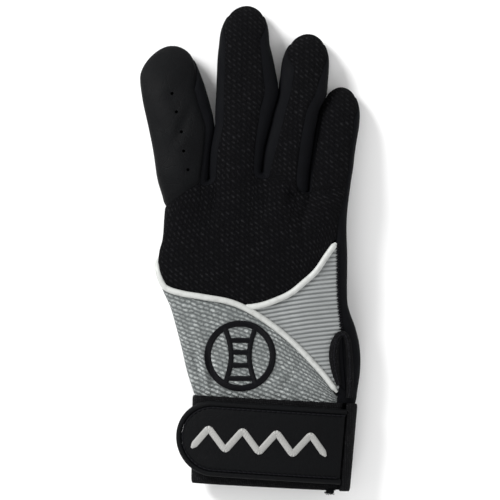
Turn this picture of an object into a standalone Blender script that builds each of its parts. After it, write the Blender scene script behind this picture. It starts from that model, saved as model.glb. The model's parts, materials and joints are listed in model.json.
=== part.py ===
"""Right-hand inner glove lying palm down, fingers along +Y, with its thumb folded under the palm.

Every panel is cut from one surface, given by two functions: hand_point for the hand, and
finger_point for a finger. Both take an angle round the section in degrees: 0 at the left edge,
90 on the back of the hand, 180 at the right edge, and negative angles on the palm side.
"""

import math
from collections import namedtuple

import bmesh
import bpy
from mathutils import Matrix, Vector

# Gaps between neighbouring pieces, and the distance at which loft points join
GAP = 0.0003
FINGER_GAP = 0.0005
PIPING_GAP = 0.00065
STITCH_GAP = 0.0004
STRAP_GAP = 0.0005
LEAST_HEIGHT = 0.0012
WELD = 2e-5
WIDEST_TRIM = 6.0
ANGLE_STEP = 0.25
ANGLE_TRIES = 200

# Hand, from the cuff seam at y = 0 to the crotches between the fingers
HAND_LENGTH = 0.1070
HAND_WIDTH = 0.0900
HAND_THICKNESS = 0.0172
PALM_LIFT = 0.0108
SIDE_DROP = 0.0034
KNUCKLE_START = 0.0660
HAND_FULLNESS = 0.62
FINGER_FULLNESS = 0.80
WRAP_ANGLE = 16.0
PALM_SEAM_ANGLE = 35.0
INDEX_ROOT = 0.0905
LITTLE_ROOT = 0.1000
CROTCH_INDEX = 0.1040
CROTCH_MIDDLE = 0.1074
CROTCH_RING = 0.0985
INDEX_TOUCHES = 0.1290
MIDDLE_TOUCHES = 0.1460
RING_TOUCHES = 0.1420
CROTCH_ROUND = 0.70

# Walls
MESH_WALL = 0.0016
PAD_WALL = 0.0026
PAD_PROUD = 0.0007
KNIT_WALL = 0.0011
LEATHER_WALL = 0.0013
ELASTIC_WALL = 0.0014
BAND_WALL = 0.0024

# Fingers: the base point is the middle of the finger level with its higher crotch
FINGER_THICKNESS = 0.0150
FINGERTIP_THICKNESS = 0.0118
FLOOR_FLAT = 0.0004
DROOP = 1.35
INDEX_LENGTH, INDEX_WIDTH, INDEX_X = 0.0636, 0.0310, -0.0334
MIDDLE_LENGTH, MIDDLE_WIDTH, MIDDLE_X = 0.0797, 0.0298, -0.0088
RING_LENGTH, RING_WIDTH, RING_X = 0.0662, 0.0234, 0.0153
LITTLE_LENGTH, LITTLE_WIDTH, LITTLE_X = 0.0495, 0.0208, 0.0367

# Thumb
THUMB_WIDTH = 0.0290
THUMB_THICKNESS = 0.0112
THUMB_X = -0.0200
THUMB_Y = 0.0240
THUMB_REACH = 0.0860

# Piping, perforations and binding
PIPING_DIAMETER = 0.0029
PERFORATION_DIAMETER = 0.0015
BINDING_WIDTH = 0.0036
BINDING_FLATNESS = 0.62
BINDING_STEPS = 30
EDGE_RISE = 0.00012

# Wrist band and strap
BAND_HEIGHT = 0.0420
BAND_HALF_WIDTH = 0.0384
BAND_THICKNESS = 0.0194
BAND_X = 0.0094
BAND_TILT = 3.0
BAND_TAPER = 0.04
BAND_START_ANGLE = 44.0
BAND_END_ANGLE = 31.0
BAND_RISE_ANGLE = -150.0
STRAP_WIDTH = 0.0360
STRAP_REACH = 0.0460
STRAP_SPAN = 0.0520
STRAP_WALL = 0.0022
STRAP_DROP = 0.0006
STRAP_START_ANGLE = 33.5
STRAP_TILT = 0.7
RIM_DIAMETER = 0.0027
HOOK_WALL = 0.0010
HOOK_LENGTH = 0.0300
HOOK_WIDTH = 0.0240
BAND_MIDDLE = BAND_THICKNESS / 2 - FLOOR_FLAT
STRAP_LIFT = HOOK_WALL + 2 * STRAP_GAP + STRAP_WALL
STRAP_LEFT = -STRAP_REACH + STRAP_WIDTH / 2
STRAP_RIGHT = (BAND_HALF_WIDTH + STRAP_LIFT) * math.cos(math.radians(STRAP_START_ANGLE))
STRAP_MIDDLE = BAND_HEIGHT / 2 - STRAP_DROP

# Raised stitching on the cuff and the strap
EMBLEM_X = -0.0060
EMBLEM_Y = 0.0190
EMBLEM_DIAMETER = 0.0340
EMBLEM_LINE = 0.0030
EMBLEM_RAISE = 0.0008
EMBLEM_SIDES = 32
EMBLEM_ROWS = 9
MOTIF_X = 0.0040
MOTIF_LENGTH = 0.0660
MOTIF_HEIGHT = 0.0100
MOTIF_LINE = 0.0032
MOTIF_RAISE = 0.0007
MOTIF_LEGS = 8

# Sections of the hand. Lengths are shares: along of HAND_LENGTH, left, right and seam (the side
# strip's visible width) of HAND_WIDTH, lift of PALM_LIFT, thickness of HAND_THICKNESS.
HandRow = namedtuple("HandRow", "along left right seam lift thickness")
HAND = [
    HandRow(-0.06, -0.302, 0.548, 0.100, 0.05, 1.00),
    HandRow(0.00, -0.312, 0.554, 0.100, 0.05, 1.00),
    HandRow(0.11, -0.352, 0.572, 0.098, 0.10, 1.02),
    HandRow(0.21, -0.379, 0.570, 0.092, 0.28, 1.03),
    HandRow(0.30, -0.406, 0.547, 0.076, 0.52, 1.03),
    HandRow(0.40, -0.440, 0.506, 0.048, 0.78, 1.02),
    HandRow(0.48, -0.482, 0.501, 0.048, 0.92, 1.00),
    HandRow(0.56, -0.503, 0.502, 0.050, 1.00, 0.98),
    HandRow(0.64, -0.498, 0.502, 0.051, 1.02, 0.96),
    HandRow(0.70, -0.480, 0.499, 0.051, 1.02, 0.95),
    HandRow(0.79, -0.471, 0.499, 0.044, 1.02, 0.93),
    HandRow(0.87, -0.465, 0.508, 0.031, 1.02, 0.91),
    HandRow(1.00, -0.480, 0.530, 0.027, 1.00, 0.90),
]

# Sections of the fingers. Lengths are shares: along of the finger's length, centre and width of
# its width. The seams are angles up from the finger's two edges.
FingerRow = namedtuple("FingerRow", "along centre width left_seam right_seam")
INDEX_ROWS = [
    FingerRow(0.00, 0.000, 0.758, -WRAP_ANGLE, 46.0),
    FingerRow(0.20, -0.013, 0.848, -WRAP_ANGLE, 38.0),
    FingerRow(0.39, -0.016, 1.000, -WRAP_ANGLE, 44.0),
    FingerRow(0.56, -0.090, 1.010, -WRAP_ANGLE, 49.0),
    FingerRow(0.68, -0.145, 0.980, -WRAP_ANGLE, 49.0),
    FingerRow(0.80, -0.190, 0.965, -WRAP_ANGLE, 50.0),
    FingerRow(1.00, -0.165, 0.920, -WRAP_ANGLE, 50.0),
]
MIDDLE_ROWS = [
    FingerRow(0.00, 0.000, 0.839, 45.0, 43.0),
    FingerRow(0.15, 0.047, 0.852, 45.0, 48.0),
    FingerRow(0.28, 0.128, 0.883, 45.0, 54.0),
    FingerRow(0.36, 0.151, 0.926, 44.0, 56.0),
    FingerRow(0.48, 0.205, 1.000, 41.0, 55.0),
    FingerRow(0.57, 0.195, 0.963, 42.0, 55.0),
    FingerRow(0.69, 0.171, 0.886, 42.0, 53.0),
    FingerRow(0.79, 0.158, 0.802, 40.0, 49.0),
    FingerRow(1.00, 0.195, 0.802, 40.0, 45.0),
]
RING_ROWS = [
    FingerRow(0.00, 0.000, 0.953, 50.0, 60.0),
    FingerRow(0.20, 0.081, 0.957, 60.0, 61.0),
    FingerRow(0.43, 0.222, 0.915, 63.0, 61.0),
    FingerRow(0.53, 0.342, 1.000, 61.0, 58.0),
    FingerRow(0.64, 0.385, 1.000, 62.0, 50.0),
    FingerRow(0.75, 0.415, 0.987, 63.0, 38.0),
    FingerRow(1.00, 0.479, 0.987, 60.0, 34.0),
]
LITTLE_ROWS = [
    FingerRow(0.00, 0.000, 0.990, 32.0, 35.0),
    FingerRow(0.37, 0.101, 0.980, 32.0, 37.0),
    FingerRow(0.60, 0.187, 0.990, 33.0, 39.0),
    FingerRow(0.68, 0.216, 0.971, 32.0, 42.0),
    FingerRow(1.00, 0.279, 0.971, 30.0, 42.0),
]
# The tip's rounding starts at the cap's share of the length. The finger touches the next one up
# to the y that touches gives.
Finger = namedtuple("Finger", "name x y length width rows cap root_left root_right touches")
FINGERS = [
    Finger("index", INDEX_X, CROTCH_INDEX, INDEX_LENGTH, INDEX_WIDTH, INDEX_ROWS, 0.676,
           INDEX_ROOT, CROTCH_INDEX, INDEX_TOUCHES),
    Finger("middle", MIDDLE_X, CROTCH_MIDDLE, MIDDLE_LENGTH, MIDDLE_WIDTH, MIDDLE_ROWS, 0.794,
           CROTCH_INDEX, CROTCH_MIDDLE, MIDDLE_TOUCHES),
    Finger("ring", RING_X, CROTCH_MIDDLE, RING_LENGTH, RING_WIDTH, RING_ROWS, 0.749,
           CROTCH_MIDDLE, CROTCH_RING, RING_TOUCHES),
    Finger("little", LITTLE_X, CROTCH_RING, LITTLE_LENGTH, LITTLE_WIDTH, LITTLE_ROWS, 0.677,
           CROTCH_RING, LITTLE_ROOT, 0.0),
]
# Shares of the rounded tip where a strip ends and where its seams close
FOURCHETTE_END = 0.70
SEAM_CLOSES = 0.82

# Piping on the back of the hand: across is a share of HAND_WIDTH, along of HAND_LENGTH
PipingPoint = namedtuple("PipingPoint", "across along")
LONG_PIPING = [
    PipingPoint(-0.502, 0.530),
    PipingPoint(-0.464, 0.484),
    PipingPoint(-0.379, 0.458),
    PipingPoint(-0.268, 0.442),
    PipingPoint(-0.107, 0.415),
    PipingPoint(0.030, 0.357),
    PipingPoint(0.200, 0.247),
    PipingPoint(0.370, 0.099),
    PipingPoint(0.454, 0.007),
]
SHORT_PIPING = [
    PipingPoint(-0.004, 0.397),
    PipingPoint(0.047, 0.405),
    PipingPoint(0.114, 0.424),
    PipingPoint(0.200, 0.458),
    PipingPoint(0.268, 0.504),
    PipingPoint(0.336, 0.557),
    PipingPoint(0.394, 0.628),
    PipingPoint(0.447, 0.689),
]

# Folds and dents on the back: across and width are shares of HAND_WIDTH, along and length of
# HAND_LENGTH, height of HAND_THICKNESS. The turn is in degrees from the hand's own direction.
Fold = namedtuple("Fold", "across along turn length width height")
FOLDS = [
    Fold(-0.262, 0.12, 10.0, 0.13, 0.030, 0.070),
    Fold(-0.318, 0.14, 12.0, 0.12, 0.026, -0.045),
    Fold(-0.100, 0.05, 60.0, 0.10, 0.040, 0.030),
    Fold(0.230, 0.88, -20.0, 0.07, 0.060, -0.060),
    Fold(-0.040, 0.85, 10.0, 0.10, 0.060, -0.030),
    Fold(0.300, 0.62, 40.0, 0.16, 0.060, 0.035),
    Fold(-0.400, 0.80, -20.0, 0.08, 0.050, 0.030),
]

# The thumb's sections: along of THUMB_REACH, across of THUMB_WIDTH, height and thickness of
# THUMB_THICKNESS, width of THUMB_WIDTH
ThumbRow = namedtuple("ThumbRow", "along across height width thickness")
THUMB = [
    ThumbRow(0.00, 0.00, 1.12, 1.00, 0.92),
    ThumbRow(0.12, 0.02, 0.95, 1.03, 0.96),
    ThumbRow(0.28, 0.06, 0.70, 1.02, 1.00),
    ThumbRow(0.45, 0.14, 0.51, 0.97, 1.00),
    ThumbRow(0.65, 0.30, 0.48, 0.95, 0.97),
    ThumbRow(0.82, 0.47, 0.46, 0.90, 0.93),
    ThumbRow(1.00, 0.62, 0.44, 0.86, 0.88),
]
THUMB_CAP = 0.80

# Perforations in the index pad: along of INDEX_LENGTH, across of INDEX_WIDTH
Perforation = namedtuple("Perforation", "along across")
PERFORATIONS = [
    Perforation(0.635, -0.168),
    Perforation(0.495, -0.100),
    Perforation(0.346, -0.022),
    Perforation(0.201, 0.013),
    Perforation(0.060, 0.080),
]

# Route of the binding round the slit in the cuff: across of HAND_WIDTH, along of HAND_LENGTH,
# width of BINDING_WIDTH
BindingPoint = namedtuple("BindingPoint", "across along width")
SLIT_BINDING = [
    BindingPoint(0.459, 0.048, 0.75),
    BindingPoint(0.450, 0.075, 0.95),
    BindingPoint(0.438, 0.120, 1.20),
    BindingPoint(0.430, 0.180, 1.35),
    BindingPoint(0.436, 0.230, 1.20),
    BindingPoint(0.456, 0.268, 0.95),
    BindingPoint(0.486, 0.272, 0.85),
    BindingPoint(0.504, 0.240, 0.85),
    BindingPoint(0.512, 0.180, 0.90),
    BindingPoint(0.516, 0.110, 0.95),
    BindingPoint(0.516, 0.050, 0.95),
    BindingPoint(0.514, -0.010, 0.95),
]

# How finely each surface is divided
ROOT_COLUMNS = {"index": 6, "middle": 5, "ring": 4, "little": 4}
NOTCH_COLUMNS = 3
SIDE_COLUMNS = 4
HAND_ROWS = 9
FINGER_ROWS = 7
CAP_ROWS = 4
THUMB_COLUMNS = 16
THUMB_ROWS = 10

# A place along a finger, as shares of its body and of its rounded tip
Station = namedtuple("Station", "body cap")
ROOT_STATION = Station(0.0, 0.0)

# Colours and finish: red, green, blue, roughness
BLACK_MESH = (0.012, 0.012, 0.014, 0.85)
BLACK_LEATHER = (0.016, 0.016, 0.018, 0.50)
BLACK_KNIT = (0.013, 0.013, 0.016, 0.75)
GREY_MESH = (0.330, 0.345, 0.355, 0.90)
PALE_RIB = (0.560, 0.560, 0.570, 0.80)
PALE_PIPING = (0.690, 0.700, 0.680, 0.55)
BLACK_BAND = (0.012, 0.012, 0.013, 0.85)
SILVER_THREAD = (0.560, 0.560, 0.540, 0.45)


def lerp(a, b, t):
    return a + (b - a) * t


def smoothstep(t):
    t = min(max(t, 0.0), 1.0)
    return t * t * (3 - 2 * t)


def clamp(value, low, high):
    return min(max(value, low), high)


def table_value(rows, key, column, at):
    """The column's value at that key, on a smooth curve through the table's rows."""
    keys = [getattr(row, key) for row in rows]
    values = [getattr(row, column) for row in rows]
    return curve_value(keys, values, at)


def curve_value(keys, values, at):
    last = len(keys) - 1
    if at <= keys[0]:
        return values[0]
    if at >= keys[last]:
        return values[last]
    i = max(j for j in range(last) if keys[j] <= at)

    def slope(j):
        a, b = max(j - 1, 0), min(j + 1, last)
        return (values[b] - values[a]) / (keys[b] - keys[a])

    h = keys[i + 1] - keys[i]
    t = (at - keys[i]) / h
    return (
        (2 * t**3 - 3 * t**2 + 1) * values[i]
        + (t**3 - 2 * t**2 + t) * h * slope(i)
        + (-2 * t**3 + 3 * t**2) * values[i + 1]
        + (t**3 - t**2) * h * slope(i + 1)
    )


# The hand's surface


def hand_value(column, y):
    return table_value(HAND, "along", column, y / HAND_LENGTH)


def hand_edges(y):
    return hand_value("left", y) * HAND_WIDTH, hand_value("right", y) * HAND_WIDTH


def rounded_sine(angle, fullness):
    s = math.sin(angle)
    return math.copysign(abs(s) ** fullness, s)


def fold_height(x, y):
    """How far the folds and dents lift the back of the hand at this place."""
    total = 0.0
    for fold in FOLDS:
        turn = math.radians(fold.turn)
        dx = x - fold.across * HAND_WIDTH
        dy = y - fold.along * HAND_LENGTH
        along = dy * math.cos(turn) - dx * math.sin(turn)
        across = dx * math.cos(turn) + dy * math.sin(turn)
        shape = (along / (fold.length * HAND_LENGTH)) ** 2 + (across / (fold.width * HAND_WIDTH)) ** 2
        total += fold.height * HAND_THICKNESS * math.exp(-shape)
    return total


def hand_point(degrees, y, grow=0.0):
    left, right = hand_edges(y)
    angle = math.radians(degrees)
    half = (right - left) / 2 + grow
    x = (left + right) / 2 - half * math.cos(angle)
    thick = hand_value("thickness", y) * HAND_THICKNESS / 2
    lean = SIDE_DROP * smoothstep(y / KNUCKLE_START) * x / (HAND_WIDTH / 2)
    middle = hand_value("lift", y) * PALM_LIFT + thick - lean
    z = middle + (thick + grow) * rounded_sine(angle, HAND_FULLNESS)
    if math.sin(angle) > 0:
        z += fold_height(x, y) * math.sin(angle)
    return Vector((x, y, max(z, -grow)))


def angle_at(x, y):
    """The angle at which the back of the hand is at this x."""
    left, right = hand_edges(y)
    share = ((left + right) / 2 - x) / ((right - left) / 2)
    return math.degrees(math.acos(clamp(share, -1.0, 1.0)))


def strip_angle(y):
    """The angle of the seam between the back of the hand and the side strip."""
    left, right = hand_edges(y)
    share = hand_value("seam", y) * HAND_WIDTH / (right - left)
    return 180.0 - math.degrees(math.acos(1 - 2 * share))


# The fingers' surfaces


def cap_share(finger, y):
    """0 along the finger's body, rising to 1 at its tip."""
    start = finger.y + finger.cap * finger.length
    return clamp((y - start) / ((1 - finger.cap) * finger.length), 0.0, 1.0)


def cap_round(finger, y):
    return math.sqrt(1 - cap_share(finger, y) ** 2)


def body_half(finger, y):
    """Half the finger's width there, before its tip is rounded."""
    return table_value(finger.rows, "along", "width", (y - finger.y) / finger.length) * finger.width / 2


def raw_edges(finger, y):
    along = (y - finger.y) / finger.length
    centre = finger.x + table_value(finger.rows, "along", "centre", along) * finger.width
    half = body_half(finger, y) * cap_round(finger, y)
    return centre - half, centre + half


def tip_y(finger):
    return finger.y + finger.length


def finger_edges(finger, y):
    """The finger's left and right edges, kept off its neighbours and flush with the hand."""
    number = FINGERS.index(finger)
    left, right = raw_edges(finger, y)
    if number == 0:
        root = finger.root_left
        shift = hand_edges(root)[0] - raw_edges(finger, root)[0]
        left += shift * (1 - smoothstep((y - root) / (finger.width / 2)))
    else:
        beside = FINGERS[number - 1]
        other = raw_edges(beside, y)[1]
        if y < beside.touches or (y < tip_y(beside) and other + FINGER_GAP > left):
            left = (other + left + FINGER_GAP) / 2
    if number == len(FINGERS) - 1:
        root = finger.root_right
        shift = hand_edges(root)[1] - raw_edges(finger, root)[1]
        right += shift * (1 - smoothstep((y - root) / (finger.width / 2)))
    else:
        beside = FINGERS[number + 1]
        other = raw_edges(beside, y)[0]
        if y < finger.touches or (y < tip_y(beside) and other - FINGER_GAP < right):
            right = (other + right - FINGER_GAP) / 2
    return left, right


def body_thickness(finger, y):
    """Half the finger's thickness there, before its tip is rounded."""
    share = clamp((y - finger.root_right) / (tip_y(finger) - finger.root_right), 0.0, 1.0)
    return lerp(FINGER_THICKNESS, FINGERTIP_THICKNESS, share) / 2


def finger_height(finger, y):
    """The height of the finger's middle, which droops from the hand to the floor."""
    root = finger.y
    base = hand_value("lift", root) * PALM_LIFT + hand_value("thickness", root) * HAND_THICKNESS / 2
    base -= SIDE_DROP * finger.x / (HAND_WIDTH / 2)
    tip = FINGERTIP_THICKNESS / 2 - FLOOR_FLAT
    share = clamp((y - root) / finger.length, 0.0, 1.0)
    return lerp(base, tip, share**DROOP)


def root_y(finger, degrees):
    """Where the finger begins at this angle: its root slants from one crotch to the next."""
    across = (1 - math.cos(math.radians(degrees))) / 2
    return lerp(finger.root_left, finger.root_right, across)


def finger_stations(end=1.0):
    """Places from root to tip: shares of the body, then of the rounded tip."""
    body = [Station(i / FINGER_ROWS, 0.0) for i in range(FINGER_ROWS)]
    quarter = math.pi / 2
    tip = [Station(1.0, end * math.sin(quarter * i / CAP_ROWS)) for i in range(CAP_ROWS + 1)]
    return body + tip


def station_y(finger, degrees, station):
    start = finger.y + finger.cap * finger.length
    body = lerp(root_y(finger, degrees), start, station.body)
    return body + station.cap * (1 - finger.cap) * finger.length


def finger_point(finger, degrees, station, inset=0.0, shift=0.0):
    """A point of the finger, at a depth of inset inside its surface and shifted up."""
    y = station_y(finger, degrees, station)
    left, right = finger_edges(finger, y)
    half = (right - left) / 2 * (1 - inset / body_half(finger, y))
    thick = (body_thickness(finger, y) - inset) * cap_round(finger, y)
    angle = math.radians(degrees)
    x = (left + right) / 2 - half * math.cos(angle)
    z = finger_height(finger, y) + thick * rounded_sine(angle, FINGER_FULLNESS) + shift
    return Vector((x, y - station.cap * inset, max(z, inset)))


def seam_closing(finger, y):
    """1 along the finger, falling to 0 where the seams meet the tip."""
    return 1 - clamp(cap_share(finger, y) / SEAM_CLOSES, 0.0, 1.0)


def seam_angle(finger, side, y):
    """The seam's angle up from the finger's edge on the back."""
    along = (y - finger.y) / finger.length
    return table_value(finger.rows, "along", side, along) * seam_closing(finger, y)


def palm_seam_angle(finger, side, y):
    """The seam's angle down from the finger's edge on the palm side."""
    outer = side == "left_seam" and finger.name == "index"
    return (WRAP_ANGLE if outer else PALM_SEAM_ANGLE) * seam_closing(finger, y)


def gap_angle(point_at, degrees):
    """The angle that half a gap takes up there."""
    reach = (point_at(degrees + 1.0) - point_at(degrees)).length
    return min(GAP / 2 / max(reach, GAP / 40), WIDEST_TRIM)


def finger_gap_angle(finger, degrees, station):
    return gap_angle(lambda at: finger_point(finger, at, station), degrees)


def panel_angles(finger, station, y, face):
    """The first and last angle of the back's panel (face 1) or the palm's (face -1)."""
    if face > 0:
        first = seam_angle(finger, "left_seam", y)
        last = 180 - seam_angle(finger, "right_seam", y)
    else:
        first = -palm_seam_angle(finger, "left_seam", y)
        last = -180 + palm_seam_angle(finger, "right_seam", y)
    first_trim = finger_gap_angle(finger, first, station)
    return first + face * first_trim, last - face * finger_gap_angle(finger, last, station)


def panel_point(finger, share, station, face, inset=0.0):
    """A point of the finger's panel, at a share of the way across it."""
    middle = station_y(finger, 90, station)
    first, last = panel_angles(finger, station, middle, face)
    y = station_y(finger, lerp(first, last, share), station)
    first, last = panel_angles(finger, station, y, face)
    return finger_point(finger, lerp(first, last, share), station, inset, face * GAP / 2)


# The row of points where the hand meets the fingers


def notch_points(a, b, drop):
    """Points of the rounded end of a notch, from a to b, without a and b."""
    found = []
    half = (b - a).length / 2
    for i in range(1, NOTCH_COLUMNS + 1):
        turn = math.pi * i / (NOTCH_COLUMNS + 1)
        point = a.lerp(b, (1 - math.cos(turn)) / 2)
        point.y -= half * CROTCH_ROUND * math.sin(turn) + drop
        found.append(point)
    return found


def root_row(face, inset):
    """The hand's last row of points on the back (face 1) or the palm (face -1)."""
    row = []
    for finger in FINGERS:
        count = ROOT_COLUMNS[finger.name]
        points = [panel_point(finger, i / count, ROOT_STATION, face, inset) for i in range(count + 1)]
        if row:
            row += notch_points(row[-1], points[0], GAP)
        row += points
    return row


def left_angle(face, y):
    """The edge of the back's or the palm's panel where they meet along the left side."""
    trim = gap_angle(lambda at: hand_point(at, y), -WRAP_ANGLE)
    return -WRAP_ANGLE + face * trim


def right_angle(face, y):
    """The edge of the back's or the palm's panel beside the side strip."""
    if face > 0:
        seam = strip_angle(y)
        return seam - gap_angle(lambda at: hand_point(at, y), seam)
    seam = -180 + PALM_SEAM_ANGLE
    return seam + gap_angle(lambda at: hand_point(at, y), seam)


def root_angles(face, row):
    """The angle round the hand that leads to each point of the root row."""
    found = [face * angle_at(point.x, point.y) for point in row]
    found[0] = left_angle(face, row[0].y)
    found[-1] = right_angle(face, row[-1].y)
    for i in range(1, len(found) - 1):
        low, high = sorted((found[i - 1] + face, found[-1]))
        found[i] = clamp(found[i], low, high)
    return found


ROOT = {(face, 0.0): root_row(face, 0.0) for face in (1, -1)}
ROOT[1, MESH_WALL] = root_row(1, MESH_WALL)
ROOT[-1, LEATHER_WALL] = root_row(-1, LEATHER_WALL)
ROOT_ANGLE = {face: root_angles(face, ROOT[face, 0.0]) for face in (1, -1)}


def column_angle(face, i, y):
    """The angle of the hand's column at this y. The last column follows the side strip's seam."""
    first, last = ROOT_ANGLE[face][0], ROOT_ANGLE[face][-1]
    share = (ROOT_ANGLE[face][i] - first) / (last - first)
    return lerp(left_angle(face, y), right_angle(face, y), share)


def knuckle_weight(y, top):
    return smoothstep((y - KNUCKLE_START) / (top - KNUCKLE_START))


def column_point(face, i, y, inset=0.0):
    """A point of the hand's column, which runs smoothly into its place on the root row."""
    target = ROOT[face, inset][i]
    offset = target - hand_point(ROOT_ANGLE[face][i], target.y, -inset)
    offset.y = 0.0
    return hand_point(column_angle(face, i, y), y, -inset) + offset * knuckle_weight(y, target.y)


def back_point(degrees, y, inset=0.0):
    """A point of the back of the hand between its columns, or above it for a negative inset."""
    base = hand_point(degrees, y, -inset)
    if y < KNUCKLE_START:
        return base
    angles = [column_angle(1, i, y) for i in range(len(ROOT_ANGLE[1]))]
    for i in range(len(angles) - 1):
        if angles[i] <= degrees <= angles[i + 1]:
            share = (degrees - angles[i]) / (angles[i + 1] - angles[i])
            lifts = [column_point(1, k, y) - hand_point(angles[k], y) for k in (i, i + 1)]
            return base + lifts[0].lerp(lifts[1], share)
    return base


# Lines across the back of the hand, as the y where each crosses an angle


def wrist_line(degrees):
    """The cuff seam, which slants with the wrist band."""
    slope = math.tan(math.radians(BAND_TILT))
    y = 0.0
    for _ in range(3):
        y = -slope * (hand_point(degrees, y).x - hand_edges(0.0)[0])
    return y + GAP


def line_y(points, degrees):
    """Where the piping's line crosses this angle. It runs on up round the left edge."""
    keys = [point.across * HAND_WIDTH for point in points]
    values = [point.along * HAND_LENGTH for point in points]
    y = values[0]
    for _ in range(4):
        y = curve_value(keys, values, hand_point(max(degrees, 0.0), y).x)
    return y - min(degrees, 0.0) * EDGE_RISE


def beside_piping(points, degrees, side):
    """The y of a panel's edge that runs beside the piping, clear of it."""
    y = line_y(points, degrees)
    run = (hand_point(degrees + 1, y) - hand_point(degrees - 1, y)).length
    slope = (line_y(points, degrees + 1) - line_y(points, degrees - 1)) / run
    return y + side * (PIPING_DIAMETER / 2 + PIPING_GAP) * math.sqrt(1 + slope * slope)


def first_angle(start, step, fits):
    """The first angle that fits, in steps from start."""
    tried = [start + i * step for i in range(ANGLE_TRIES)]
    return next((degrees for degrees in tried if fits(degrees)), start)


def start_angle(points, earlier=0.0):
    first = points[0]
    return angle_at(first.across * HAND_WIDTH - earlier, first.along * HAND_LENGTH)


def back_edge(degrees):
    """The lower edge of the black mesh, above whichever piping is higher."""
    low = beside_piping(LONG_PIPING, degrees, 1)
    if degrees > start_angle(SHORT_PIPING, 2 * PIPING_DIAMETER):
        low = max(low, beside_piping(SHORT_PIPING, degrees, 1))
    return low


# Building meshes


def collection(name):
    made = bpy.data.collections.new(name)
    bpy.context.scene.collection.children.link(made)
    return made


def material(name, finish):
    red, green, blue, roughness = finish
    made = bpy.data.materials.new(name)
    made.use_nodes = True
    shader = made.node_tree.nodes["Principled BSDF"]
    shader.inputs["Base Color"].default_value = (red, green, blue, 1.0)
    shader.inputs["Roughness"].default_value = roughness
    shader.inputs["Metallic"].default_value = 0.0
    return made


def mesh_object(name, mesh, finish, home):
    data = bpy.data.meshes.new(name)
    mesh.to_mesh(data)
    mesh.free()
    data.shade_smooth()
    data.materials.append(material(name, finish))
    made = bpy.data.objects.new(name, data)
    home.objects.link(made)
    return made


def add_grid(mesh, rows):
    """Adds a grid of points with its faces, and returns its vertices row by row."""
    made = [[mesh.verts.new(point) for point in row] for row in rows]
    for a, b in zip(made, made[1:]):
        for i in range(len(a) - 1):
            mesh.faces.new((a[i], a[i + 1], b[i + 1], b[i]))
    return made


def panel(name, blocks_at, wall, finish, home, proud=0.0):
    """A closed loft. blocks_at(inset) gives its grids of points at a depth inside the surface.

    Its outer face stands proud of the surface and its inner face is a wall deeper. Both come from
    the same angles, so neighbouring panels keep their gap right through.
    """
    mesh = bmesh.new()
    inner_place = mesh.verts.layers.float_vector.new("inner_place")
    for outer, inner in zip(blocks_at(-proud), blocks_at(wall - proud)):
        for verts, points in zip(add_grid(mesh, outer), inner):
            for vert, point in zip(verts, points):
                vert[inner_place] = point
    bmesh.ops.remove_doubles(mesh, verts=mesh.verts, dist=WELD)
    outer_faces = list(mesh.faces)
    rim = [edge.link_loops[0] for edge in mesh.edges if edge.is_boundary]
    ends = [(loop.vert, loop.link_loop_next.vert) for loop in rim]
    twins = {vert: mesh.verts.new(vert[inner_place]) for vert in list(mesh.verts)}
    for face in outer_faces:
        mesh.faces.new([twins[vert] for vert in reversed(face.verts)])
    for a, b in ends:
        mesh.faces.new((b, a, twins[a], twins[b]))
    bmesh.ops.recalc_face_normals(mesh, faces=mesh.faces)
    return mesh_object(name, mesh, finish, home)


def sheet(name, blocks, wall, finish, home):
    """An open surface of one or more grids, made solid on the side away from its normals."""
    mesh = bmesh.new()
    for rows in blocks:
        add_grid(mesh, rows)
    bmesh.ops.remove_doubles(mesh, verts=mesh.verts, dist=WELD)
    made = mesh_object(name, mesh, finish, home)
    solid = made.modifiers.new("wall", "SOLIDIFY")
    solid.thickness = wall
    solid.offset = -1.0
    solid.use_even_offset = True
    return made


def closed_loft(name, rings, cutters):
    """A solid through whole rings of points, with its ends filled, for cutting."""
    mesh = bmesh.new()
    add_grid(mesh, rings)
    bmesh.ops.remove_doubles(mesh, verts=mesh.verts, dist=WELD)
    bmesh.ops.holes_fill(mesh, edges=mesh.edges, sides=0)
    bmesh.ops.recalc_face_normals(mesh, faces=mesh.faces)
    return helper(mesh_object(name, mesh, BLACK_LEATHER, cutters))


def helper(made):
    made.hide_render = True
    made.display_type = "WIRE"
    return made


def cut(made, cutter):
    boolean = made.modifiers.new(cutter.name, "BOOLEAN")
    boolean.operation = "DIFFERENCE"
    boolean.solver = "EXACT"
    boolean.object = cutter


def tube(name, points, finish, home, diameter):
    curve = bpy.data.curves.new(name, "CURVE")
    curve.dimensions = "3D"
    curve.twist_mode = "Z_UP"
    curve.bevel_depth = diameter / 2
    curve.bevel_resolution = 1
    curve.use_fill_caps = True
    spline = curve.splines.new("POLY")
    spline.points.add(len(points) - 1)
    for place, point in zip(spline.points, points):
        place.co = (*point, 1.0)
    made = bpy.data.objects.new(name, curve)
    curve.materials.append(material(name, finish))
    home.objects.link(made)
    return made


# The hand's panels


def hand_rows(face, low_edge, inset, root_gap=0.0):
    """Rows of the hand from low_edge, which takes an angle, up to the root row."""
    lows = []
    for i in range(len(ROOT_ANGLE[face])):
        y = 0.0
        for _ in range(3):
            y = low_edge(column_angle(face, i, y))
        lows.append(y)
    grid = []
    for j in range(HAND_ROWS):
        row = []
        for i, low in enumerate(lows):
            y = lerp(low, ROOT[face, inset][i].y, j / HAND_ROWS)
            row.append(column_point(face, i, y, inset))
        grid.append(row)
    last = [point.copy() for point in ROOT[face, inset]]
    for point in last[: ROOT_COLUMNS["index"] + 1]:
        point.y -= root_gap
    return grid + [last]


def finger_rows(finger, face, inset):
    count = ROOT_COLUMNS[finger.name]
    grid = []
    for station in finger_stations():
        row = [panel_point(finger, i / count, station, face, inset) for i in range(count + 1)]
        grid.append(row)
    return grid


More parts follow.
